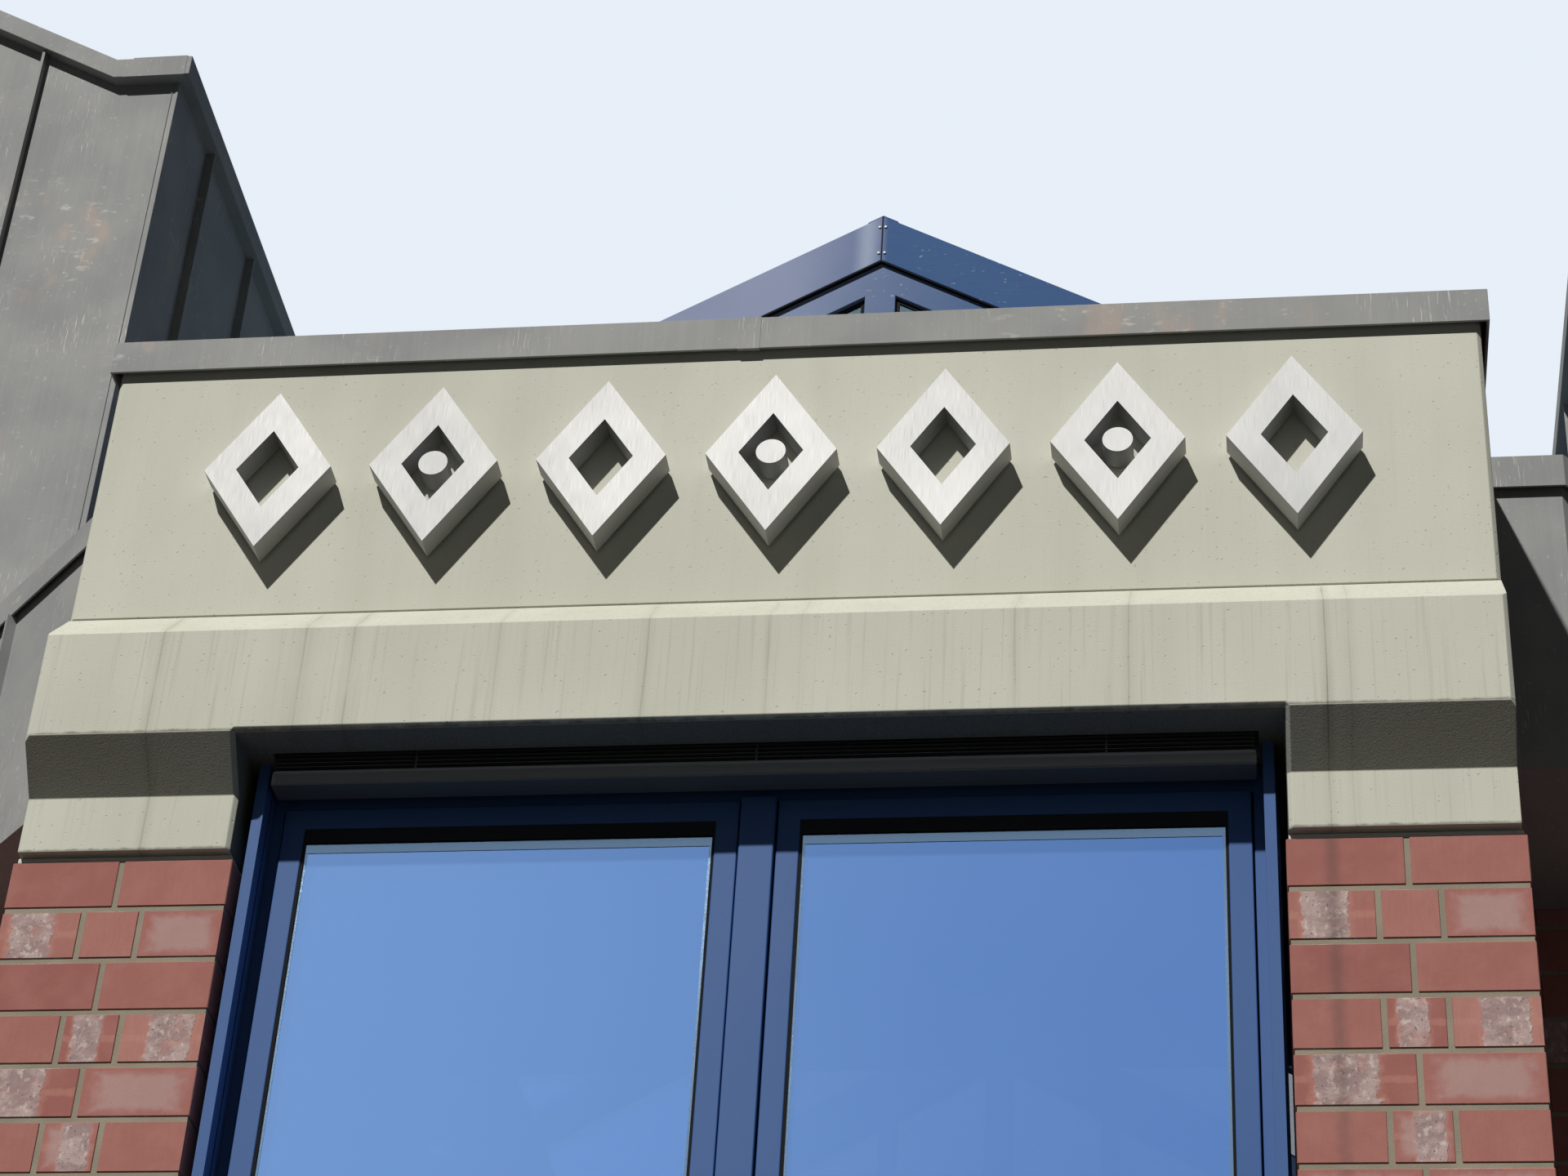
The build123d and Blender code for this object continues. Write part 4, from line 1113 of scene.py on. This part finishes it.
@dataclass
class Masonry:
    """All brick walls and piers of the bay.

    recess is how far the bricks of a wing stand behind its link wall, and bed_play how far a
    pier's bed joint stays clear of the bricks below and the lintel above.
    """

    window_width: float = 1.26
    window_height: float = 1.5
    sill: float = 0.875
    storey: float = 2.875
    recess: float = 0.03
    bed_inset: float = 0.006
    bed_wear: float = 0.004
    bed_play: tuple[float, float] = (0.001, 0.0005)
    mould: BrickMould = field(default_factory=BrickMould)

    def windows(self, *centres: float) -> tuple[Opening, ...]:
        """Places the windows of both storeys.

        Args:
            centres: Middles of the windows along the wall.

        Returns:
            The windows.
        """
        half = self.window_width / 2
        return tuple(
            Opening(centre - half, centre + half, level, level + self.window_height)
            for centre in centres
            for level in (self.sill, self.sill + self.storey)
        )

    @staticmethod
    def pier_layers(wide: float, deep: float) -> tuple[tuple[tuple[float, ...], ...], ...]:
        """Lays out both courses of a pier's bond.

        Args:
            wide: The pier's width.
            deep: The pier's depth.

        Returns:
            Place and size in plan of every brick in each course.
        """
        back, side = BRICK[1] + JOINT, BRICK[0] + JOINT
        half, cut = (wide - JOINT) / 2, (wide - BRICK[1] - 2 * JOINT) / 2
        return (
            (
                (0.0, 0.0, half, BRICK[1]),
                (half + JOINT, 0.0, half, BRICK[1]),
                (0.0, back, BRICK[1], deep - back),
                (wide - BRICK[1], back, BRICK[1], deep - back),
            ),
            (
                (0.0, 0.0, cut, BRICK[0]),
                (cut + JOINT, 0.0, BRICK[1], BRICK[1]),
                (wide - cut, 0.0, cut, BRICK[0]),
                (0.0, side, BRICK[1], deep - side),
                (wide - BRICK[1], side, BRICK[1], deep - side),
            ),
        )

    def build_pier(self, node: str) -> None:
        """Lays a pier in the bond of the photograph's portal.

        Args:
            node: The pier's node.
        """
        low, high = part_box(node)
        courses = int((high.z - low.z) / COURSE)
        parts = []
        for number, layer in enumerate(self.pier_layers(high.x - low.x, high.y - low.y)):
            level = number * COURSE + JOINT
            bricks = [
                self.mould.lay((low.x + x, low.y + y, level), (wide, deep, BRICK[2]))
                for x, y, wide, deep in layer
            ]
            count = (courses + 1 - number) // 2
            parts.append(repeat(join(bricks), count, (0.0, 0.0, 2 * COURSE)))
        shell = paint(join(parts), Stuff.BRICK)
        planes = ((0, low.x, 1), (0, high.x, -1), (1, low.y, 1))
        core = WallCore(node, planes, lambda centre, normal: False).build()
        # The bed joint under the lintel takes the pale plaster finish: partly a paler mortar, partly painted
        # light that lifts the joint out of the lintel's shade.
        inset, (below, above) = self.bed_inset, self.bed_play
        bed = block(
            (low.x + inset, low.y + inset, courses * COURSE + below),
            (high.x - inset, high.y - inset, high.z - above),
        )
        paint(soften(bed, self.bed_wear), Stuff.PLASTER)
        hand_over([core, shell, bed], node + "_bricks", replaces=node)

    def build_wall(self, name: str, walls: Sequence[BrickWall], core: WallCore) -> None:
        """Joins brick shells with their core and hands the piece over."""
        shells = [wall.build(self.mould) for wall in walls]
        hand_over([core.build(), *shells], name, replaces=core.node)

    def build_wing(self, side: str, sign: int) -> None:
        """Lays the front, the link wall, the outer side and the return wall of one wing.

        Args:
            side: Name of the side.
            sign: 1 on the right and -1 on the left.
        """
        front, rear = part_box(f"{side}_wing_front")[0].y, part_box("rear_wall")[1].y
        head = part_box(f"{side}_wing_sides")[1].z
        inner, outer = edges_of(f"{side}_wing_sides", sign)
        middle = sum(edges_of(f"{side}_wing_attic", sign)) / 2
        brick_face = front + self.recess
        start = min(inner, outer)
        windows = self.windows(middle - start)
        main_wall = BrickWall(
            (start, brick_face), 0.0, abs(outer - inner), head, windows, (sign < 0, sign > 0),
        )
        face = edges_of(f"{side}_return_wall", sign)[1]
        link = BrickWall((min(inner, face), front), 0.0, abs(inner - face), head)
        planes = ((1, brick_face, 1), (1, front, 1), (0, outer, -sign))
        core = WallCore(f"{side}_wing_front", planes, lambda centre, normal: normal.y > FACING)
        self.build_wall(f"{side}_wing_front_bricks", [main_wall, link], core)

        depth = rear - brick_face
        place = (outer, brick_face if sign > 0 else rear)
        windows = self.windows(depth / 4, depth * 3 / 4)
        side_wall = BrickWall(place, sign * 90.0, depth, head, windows, (True, True), swapped=True)
        core = WallCore(
            f"{side}_wing_sides",
            ((0, outer, -sign),),
            lambda centre, normal: abs(centre.x - outer) > 2 * MORTAR_DEPTH and abs(normal.x) > FACING,
        )
        self.build_wall(f"{side}_wing_side_bricks", [side_wall], core)

        low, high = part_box(f"{side}_return_wall")
        place = (face, low.y if sign > 0 else high.y)
        back = BrickWall(place, sign * 90.0, high.y - low.y, head)
        planes = ((0, face, -sign),)
        core = WallCore(f"{side}_return_wall", planes, lambda centre, normal: normal.x * sign < -FACING)
        self.build_wall(f"{side}_return_bricks", [back], core)

    def build_rear(self) -> None:
        """Lays the rear wall of hall and wings."""
        low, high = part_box("rear_wall")
        length = high.x - low.x
        side_low, side_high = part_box("right_wing_sides")
        middle = sum(edges_of("right_wing_attic", 1)) / 2
        shifts = (-middle, -side_low.x / 2, side_low.x / 2, middle)
        windows = self.windows(*[length / 2 + shift for shift in shifts])
        full = int(side_high.z / COURSE)
        place = (high.x, high.y)
        wall = BrickWall(place, 180.0, length, full * COURSE, windows, (True, True))
        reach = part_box("right_wing_attic")[0].x
        top = BrickWall(place, 180.0, length, high.z, first=full, reach=(high.x - reach, high.x + reach))
        planes = ((1, high.y, -1), (0, high.x, -1), (0, low.x, 1))
        core = WallCore("rear_wall", planes, lambda centre, normal: normal.y < -FACING)
        self.build_wall("rear_wall_bricks", [wall, top], core)

    def build(self) -> None:
        """Builds every brick piece."""
        self.build_pier("left_pier")
        self.build_pier("right_pier")
        for side, sign in SIDES:
            self.build_wing(side, sign)
        self.build_rear()
        self.mould.clear()


@dataclass
class DressedNodes:
    """CAD nodes that keep their shape: some get rounded edges, all get their finish."""

    softened: tuple[tuple[str, Stuff, float, tuple[str, ...]], ...] = (
        ("concrete", Stuff.CONCRETE, 0.005, ("portal_lintel",)),
        ("concrete", Stuff.CONCRETE, 0.004, ("sign_panel", "window_sills")),
        ("zinc", Stuff.ZINC, 0.0015, ("portal_coping", "left_flank_coping", "right_flank_coping")),
        ("zinc", Stuff.ZINC, 0.003, ("left_wing_coping", "right_wing_coping")),
        ("zinc", Stuff.ZINC, 0.0015, ("rear_coping",)),
        ("blue_frame", Stuff.BLUE, 0.002, ("portal_frame",)),
        ("blue_frame", Stuff.BLUE, 0.003, ("center_mullion", "left_leaf", "right_leaf")),
        ("blue_frame", Stuff.BLUE, 0.003, ("left_entry_leaf", "right_entry_leaf", "window_frames")),
        ("steel", Stuff.STEEL, 0.002, ("panel_ornaments",)),
        ("skylight_metal", Stuff.KERB, 0.002, ("skylight_caps",)),
        ("skylight_metal", Stuff.GABLE, 0.003, ("skylight_gables",)),
    )
    plain: tuple[tuple[Stuff, tuple[str, ...]], ...] = (
        (Stuff.ZINC, ("left_flank", "right_flank", "left_wing_attic", "right_wing_attic")),
        (Stuff.ROOF_ZINC, ("left_wing_roof", "right_wing_roof")),
        (Stuff.SCREED, ("floors",)),
        (Stuff.FELT, ("roof_deck",)),
        (Stuff.KERB, ("skylight_kerb", "skylight_rafters")),
        (Stuff.ROOF_GLASS, ("skylight_panes", "skylight_gable_panes")),
        (Stuff.GLASS, ("portal_panes",)),
        (Stuff.SIDE_GLASS, ("window_panes",)),
        (Stuff.BLUE, ("blind_guides",)),
    )

    def build(self) -> None:
        """Dresses every node of both lists."""
        for slot, stuff, width, nodes in self.softened:
            for node in nodes:
                piece = soften(copy_node(node), width)
                hand_over([piece], node + "_finished", stuff, node)
        for stuff, nodes in self.plain:
            for node in nodes:
                paint(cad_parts[node], stuff)


@dataclass
class SkylightTrim:
    """Verges with a mitre joint, gap seals, glazing seals, bolts and ridge cap of the glass roof.

    A verge bolt is its place across the joint and its drop below the ridge.
    """

    joint: float = 0.003
    seal: float = 0.003
    pane_seal: float = 0.012
    pane_seal_depth: float = 0.004
    wear: float = 0.003
    pitch: float = math.radians(30.0)
    verge_bolts: tuple[tuple[float, float], ...] = (
        (-0.009, 0.045), (-0.009, 0.148), (0.009, 0.045), (0.009, 0.148),
    )
    verge_bolt: float = 0.0045
    cap_bolt: float = 0.006
    bolt_height: float = 0.006
    bolt_roots: tuple[float, float] = (0.002, 0.001)
    cap_margin: float = 0.06
    bays: int = 5
    row_start: float = 0.22
    row_step: float = 0.31
    row_count: int = 6
    ridge_half: float = 0.046
    ridge_play: float = 0.004
    ridge_sheet: float = 0.005
    ridge_lift: float = 0.007

    def build_verges(self) -> None:
        """Splits both verge bands at the apex and backs them with dark seals."""
        node = "skylight_verges"
        low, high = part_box(node)
        halves = []
        for sign in (-1, 1):
            half = copy_node(node)
            clip(half, (sign * self.joint / 2, 0.0, 0.0), (-sign, 0.0, 0.0))
            halves.append(soften(half, self.wear))
        hand_over(halves, node + "_finished", Stuff.COOL, node)
        seal = copy_node(node)
        middle = (low.y + high.y) / 2
        for sign in (-1, 1):
            with editing(seal, points=lambda point: (point.y - middle) * sign > 0):
                bpy.ops.transform.translate(value=(0.0, -sign * self.seal, -self.seal))
        hand_over([seal], "skylight_verge_seals", Stuff.RUBBER)

    def build_bolts(self) -> None:
        """Sets small domed bolts beside the mitre joint and along the cap profiles."""
        low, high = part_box("skylight_verges")
        bolts = []
        for face, out in ((low.y, -1), (high.y, 1)):
            for across, drop in self.verge_bolts:
                foot = Vector((across, face - out * self.bolt_roots[0], high.z - drop))
                head = foot + Vector((0.0, out * self.bolt_height, 0.0))
                bolts.append(round_bar(foot, head, self.verge_bolt, 12, 0.0015))
        low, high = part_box("skylight_caps")
        step = (high.y - low.y - 2 * self.cap_margin) / self.bays
        for sign in (-1, 1):
            down = Vector((sign * math.cos(self.pitch), 0.0, -math.sin(self.pitch)))
            out = Vector((sign * math.sin(self.pitch), 0.0, math.cos(self.pitch)))
            foot = Vector((0.0, low.y + self.cap_margin + step, high.z))
            foot += down * self.row_start - out * self.bolt_roots[1]
            bolt = round_bar(foot, foot + out * self.bolt_height, self.cap_bolt, 10, 0.002)
            repeat(bolt, self.row_count, down * self.row_step)
            bolts.append(repeat(bolt, self.bays - 1, (0.0, step, 0.0)))
        hand_over(bolts, "skylight_bolts", Stuff.STEEL)

    def build_ridge(self) -> None:
        """Folds a narrow ridge cap over the joint of both slopes."""
        low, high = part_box("skylight_verges")
        rise = self.ridge_half * math.tan(self.pitch)
        top = high.z - rise + self.ridge_lift
        cap = folded_strip(
            (-self.ridge_half, low.y + self.ridge_play, top - self.ridge_sheet),
            (self.ridge_half, high.y - self.ridge_play, top),
            0,
            rise,
        )
        cap = soften(cap, 0.001, 1)
        hand_over([cap], "skylight_ridge_cap", Stuff.KERB)

    def build_seals(self) -> None:
        """Rings every pane of the gables with a rubber seal, outside and inside."""
        seals = copy_node("skylight_gable_panes")
        make_rims(seals, lambda centre, normal: abs(normal.y) > FACING, self.pane_seal, self.pane_seal_depth)
        hand_over([seals], "skylight_gable_seals", Stuff.RUBBER)

    def build(self) -> None:
        """Builds all trim of the glass roof."""
        self.build_verges()
        self.build_bolts()
        self.build_ridge()
        self.build_seals()


@dataclass
class PortalWindow:
    """Seals, edge bands, blind and entrance fittings of the portal's glazing."""

    seal: float = 0.006
    seal_depth: float = 0.005
    head_dark_strip: float = 0.036
    head_dark_depth: float = 0.006
    head_inset: float = 0.05
    band: float = 0.024
    band_inset: float = 0.052
    side_band: float = 0.006
    band_depth: float = 0.0012
    head_band_depth: float = 0.0016
    overlap: float = 0.001
    rail_height: float = 0.037
    rail_groove: tuple[float, float] = (0.007, -0.003)
    slat_step: float = 0.0105
    slat_sheet: float = 0.0015
    slat_curve: float = 0.004
    slat_play: tuple[float, float, float] = (0.004, 0.006, 0.002)
    pack_play: float = 0.012
    cord: float = 0.003
    cord_places: tuple[float, ...] = (-0.75, 0.0, 0.75)
    cord_back: float = 0.02
    pull: float = 0.014
    pull_inset: float = 0.028
    pull_out: float = 0.048
    pull_ends: tuple[float, float] = (0.75, 1.55)
    arm: float = 0.008
    arm_levels: tuple[float, ...] = (0.83, 1.47)
    hinge: float = 0.010
    hinge_height: float = 0.11
    hinge_play: tuple[float, float] = (0.002, 0.004)
    hinge_levels: tuple[float, ...] = (0.28, 1.25, 2.3)

    def head_strips(self, inset: float, depth: float, foot: float, head: float) -> list[Piece]:
        """Makes the level strips on the panes of both upper leaves.

        Args:
            inset: From the leaf's side to the strip's end.
            depth: How far a strip stands before the pane.
            foot: Level of its foot.
            head: Level of its head.

        Returns:
            The two strips, not yet softened.
        """
        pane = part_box("portal_panes")[0].y
        leaves = [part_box(node) for node in ("left_leaf", "right_leaf")]
        return [
            block((low.x + inset, pane - depth, foot), (high.x - inset, pane, head))
            for low, high in leaves
        ]

    def build_seals(self) -> None:
        """Black seals around every pane, and a black strip at the head of the upper lights that stands for
        the shaded glass edge there: painted shade.
        """
        seals = copy_node("portal_panes")
        make_rims(seals, lambda centre, normal: abs(normal.y) > FACING, self.seal, self.seal_depth)
        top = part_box("portal_panes")[1].z
        # Painted shade: a black strip at the head of each upper light stands for the shaded glass edge.
        strips = self.head_strips(self.head_inset, self.head_dark_depth, top - self.head_dark_strip, top)
        parts = [seals, *[soften(strip, 0.002) for strip in strips]]
        hand_over(parts, "portal_seals_and_shade_strips", Stuff.RUBBER)

    def build_bands(self) -> None:
        """The pane's sealed edge: a pale strip below the black head strip and a hairline beside the others,
        their pale blue-grey a painted reflection of the sky.
        """
        edge = copy_node("portal_panes")
        width = self.seal + self.side_band
        make_rims(edge, lambda centre, normal: normal.y < -FACING, width, self.band_depth)
        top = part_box("portal_panes")[1].z - self.head_dark_strip + self.overlap
        strips = self.head_strips(self.band_inset, self.head_band_depth, top - self.band, top)
        parts = [edge, *[soften(strip, 0.0004, 1) for strip in strips]]
        hand_over(parts, "portal_pane_bands", Stuff.EDGE)

    def build_blind(self) -> None:
        """The drawn-up blind: a stack of curved slats on its bottom rail, with its cords."""
        low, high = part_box("blind")
        top = low.z + self.rail_height
        rail = block(low, (high.x, high.y, top))
        width, depth = self.rail_groove
        with editing(rail, faces=lambda centre, normal: normal.y < -FACING):
            bpy.ops.mesh.inset(thickness=width, depth=depth)
        rail = soften(rail, 0.003)
        side, front, rise = self.slat_play
        slat = folded_strip(
            (low.x + side, low.y + front, top + rise),
            (high.x - side, high.y - front, top + rise + self.slat_sheet),
            1,
            self.slat_curve,
        )
        count = int((high.z - top - self.pack_play) / self.slat_step)
        slats = repeat(slat, count, (0.0, 0.0, self.slat_step))
        back = (low.y + high.y) / 2 - self.cord_back
        cords = [
            round_bar((across, back, top), (across, back, high.z), self.cord, 8, 0.0008)
            for across in self.cord_places
        ]
        hand_over([rail, slats, *cords], "blind_finished", Stuff.SLAT, "blind")

    def build_pulls(self) -> None:
        """Upright pull bars and hinges on the entrance leaves."""
        low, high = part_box("right_entry_leaf")
        out = low.y - self.pull_out
        parts = []
        for sign in (-1, 1):
            across = sign * (low.x + self.pull_inset)
            foot, head = [(across, out, level) for level in self.pull_ends]
            parts.append(round_bar(foot, head, self.pull, 24, 0.003, 2))
            for level in self.arm_levels:
                ends = (across, low.y, level), (across, out, level)
                parts.append(round_bar(*ends, self.arm, 16, 0.001))
            for level in self.hinge_levels:
                side, out_of = self.hinge_play
                foot = Vector((sign * (high.x + side), low.y - out_of, level))
                head = foot + Vector((0.0, 0.0, self.hinge_height))
                parts.append(round_bar(foot, head, self.hinge, 16, 0.002))
        hand_over(parts, "entrance_fittings", Stuff.STEEL)

    def build(self) -> None:
        """Builds all parts of the portal's glazing."""
        self.build_seals()
        self.build_bands()
        self.build_blind()
        self.build_pulls()


@dataclass
class WindowTrim:
    """Seals of the windows in the brick walls."""

    seal: float = 0.009
    depth: float = 0.006
    side_zone: float = 0.1

    def build(self) -> None:
        """Rings every pane with a seal on both of its broad faces, which look along X in the sides."""
        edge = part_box("window_panes")[1].x - self.side_zone
        seals = copy_node("window_panes")
        make_rims(
            seals,
            lambda centre, normal: abs(normal.x if abs(centre.x) > edge else normal.y) > FACING,
            self.seal,
            self.depth,
        )
        hand_over([seals], "window_seals", Stuff.RUBBER)


@dataclass
class ZincTrim:
    """Laps, corner folds, welts and ridge caps on the zinc work.

    A fold is its distance from the attic's corner and its width.
    """

    joint: float = -0.104
    lap_width: float = 0.05
    swell: float = 0.0012
    parapet: float = 0.2
    kink_slope: float = 0.35
    end_play: float = 0.004
    front_depth: float = 0.07
    folds: tuple[tuple[float, float], ...] = ((-0.002, 0.009), (0.016, 0.004))
    fold_back: float = 0.04
    fold_depths: tuple[float, float] = (0.003, 0.004)
    fold_rise: float = 0.003
    cap_half: float = 0.09
    cap_sheet: float = 0.002
    cap_lift: float = 0.003
    pitch: float = math.radians(30.0)

    def lap(self, node: str, *cuts: tuple[Point, Point]) -> Piece:
        """Cuts a strip out of a coping and swells it to a thin cover.

        Args:
            node: The coping's node.
            cuts: Point and outward normal of each cut.

        Returns:
            The cover strip.
        """
        strip = copy_node(node)
        for point, normal in cuts:
            clip(strip, point, normal)
        with editing(strip):
            bpy.ops.transform.shrink_fatten(value=self.swell, use_even_offset=True)
        return strip

    def build_laps(self) -> None:
        """Covers the joint of the portal's coping and the level ends of both gable copings."""
        start = ((self.joint, 0.0, 0.0), (-1.0, 0.0, 0.0))
        end = ((self.joint + self.lap_width, 0.0, 0.0), (1.0, 0.0, 0.0))
        parts = [self.lap("portal_coping", start, end)]
        for side in ("left", "right"):
            node = f"{side}_wing_coping"
            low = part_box(node)[0]
            wall_low, wall_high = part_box(f"{side}_wing_attic")
            front = ((0.0, low.y + self.front_depth, 0.0), (0.0, 1.0, 0.0))
            for edge, inward in ((wall_low.x, 1), (wall_high.x, -1)):
                kink = ((edge + inward * self.parapet, 0.0, low.z), (inward, 0.0, self.kink_slope))
                outer = ((edge + inward * self.end_play, 0.0, 0.0), (-inward, 0.0, 0.0))
                parts.append(self.lap(node, kink, front, outer))
        hand_over(parts, "coping_laps", Stuff.ZINC)

    def build_folds(self) -> None:
        """Upright corner folds at the front corners of both attics, and thin welts beside them."""
        parts = []
        for side, sign in SIDES:
            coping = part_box(f"{side}_wing_coping")[0]
            front = coping.y + self.fold_back
            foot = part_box(f"{side}_wing_attic")[0].z
            inner = edges_of(f"{side}_wing_sides", sign)[0]
            outer = sum(edges_of(f"{side}_wing_attic", sign)) - inner
            for corner, toward in ((inner, sign), (outer, -sign)):
                for shift, width in self.folds:
                    start = corner + toward * shift
                    end = start + toward * width
                    fold = block(
                        (min(start, end), front - self.fold_depths[0], foot),
                        (max(start, end), front + self.fold_depths[1], coping.z + self.fold_rise),
                    )
                    parts.append(soften(fold, 0.0015))
        hand_over(parts, "attic_corner_folds", Stuff.ZINC)

    def build_ridges(self) -> None:
        """Folds a cap over the ridge of both wing roofs."""
        caps = []
        for side in ("left", "right"):
            low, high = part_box(f"{side}_wing_roof")
            middle = (low.x + high.x) / 2
            drop = self.cap_half * math.tan(self.pitch)
            foot = high.z - drop
            cap = folded_strip(
                (middle - self.cap_half, low.y, foot),
                (middle + self.cap_half, high.y, foot + self.cap_sheet),
                0,
                drop + self.cap_lift,
            )
            caps.append(modify(cap, "BEVEL", width=0.0006, segments=1))
        hand_over(caps, "wing_ridge_caps", Stuff.ROOF_ZINC)

    def build(self) -> None:
        """Builds the small zinc parts."""
        self.build_laps()
        self.build_folds()
        self.build_ridges()


@dataclass
class Studio:
    """Floor, light and camera around the object; the camera is the one fitted to the photograph."""

    eye: tuple[float, float, float] = (1.0506, -9.5841, 1.5702)
    right: tuple[float, float, float] = (0.9909, 0.1235, 0.0537)
    down: tuple[float, float, float] = (-0.0289, 0.5843, -0.8110)
    ahead: tuple[float, float, float] = (-0.1316, 0.8021, 0.5826)
    lens: float = 79.63
    sensor: float = 36.0
    floor_size: float = 90.0
    floor_level: float = -0.002
    floor_seen: Colour = (0.62, 0.62, 0.60)
    floor_glow: Colour = (0.020, 0.020, 0.017)
    sky_seen: Colour = (0.80, 0.86, 0.94)
    sky_light: Colour = (0.95, 0.97, 1.0)
    sky_power: float = 0.034
    lamps: tuple[tuple[tuple[float, float, float], float, Colour, float], ...] = (
        ((25.6, 70.0, -72.3), 4.1, (1.0, 0.975, 0.935), 1.2),
        ((0.35, -0.80, -0.50), 1.7, (1.0, 0.98, 0.95), 25.0),
        ((-0.75, -0.35, -0.55), 0.11, (0.30, 0.60, 1.0), 25.0),
    )

    def build_floor(self) -> None:
        """A plain pale floor that gives little light back."""
        bpy.ops.object.select_all(action="DESELECT")
        bpy.ops.mesh.primitive_plane_add(size=self.floor_size, location=(0.0, 0.0, self.floor_level))
        floor = bpy.context.object
        floor.name = "studio_floor"
        sheet = Sheet("studio_floor", self.floor_glow, Roughness=0.9)
        sheet.coat(sheet.node("ShaderNodeLightPath", output="Is Camera Ray"), self.floor_seen)
        floor.data.materials.append(sheet.material)
        floor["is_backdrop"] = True

    def build_lamps(self) -> None:
        """A key from the upper left and two weak fills from behind, each far away."""
        for way, power, colour, softness in self.lamps:
            lamp = bpy.data.lights.new("lamp", "SUN")
            lamp.energy = power
            lamp.angle = math.radians(softness)
            lamp.color = colour
            holder = bpy.data.objects.new("lamp", lamp)
            holder.rotation_euler = Vector(way).to_track_quat("-Z", "Y").to_euler()
            bpy.context.scene.collection.objects.link(holder)

    def build_sky(self) -> None:
        """A pale backdrop for what is seen or mirrored, which lights the object only weakly."""
        world = bpy.data.worlds.new("studio")
        world.use_nodes = True
        board = Board(world.node_tree)
        board.tree.nodes.remove(board.tree.nodes["Background"])
        kinds = ("Camera", "Glossy", "Transmission")
        rays = [board.node("ShaderNodeLightPath", output=f"Is {kind} Ray") for kind in kinds]
        light = {"Color": self.sky_light, "Strength": self.sky_power}
        show = {"Color": self.sky_seen, "Strength": 1.0}
        light, show = [board.node("ShaderNodeBackground", sockets=sockets) for sockets in (light, show)]
        sky = board.node("ShaderNodeMixShader", sockets={0: reduce(Wire.most, rays), 1: light, 2: show})
        board.plug(board.tree.nodes["World Output"].inputs["Surface"], sky)
        bpy.context.scene.world = world

    def build_camera(self) -> None:
        """The camera at the photograph's place and angle."""
        camera = bpy.data.objects.new("camera", bpy.data.cameras.new("camera"))
        camera.data.lens = self.lens
        camera.data.sensor_width = self.sensor
        axes = [Vector(self.right), -Vector(self.down), -Vector(self.ahead)]
        camera.matrix_world = Matrix.Translation(self.eye) @ Matrix(axes).transposed().to_4x4()
        bpy.context.scene.collection.objects.link(camera)
        bpy.context.scene.camera = camera

    def build(self) -> None:
        """Sets up the studio."""
        self.build_floor()
        self.build_lamps()
        self.build_sky()
        self.build_camera()
        bpy.context.scene.view_settings.view_transform = "Standard"


def main() -> None:
    """Builds every class in order."""
    logging.basicConfig(level=logging.INFO, format="%(message)s")
    before = [corner.copy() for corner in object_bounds()]
    for section in (Masonry, DressedNodes, SkylightTrim, PortalWindow, WindowTrim, ZincTrim, Studio):
        section().build()


if __name__ == "__main__":
    main()
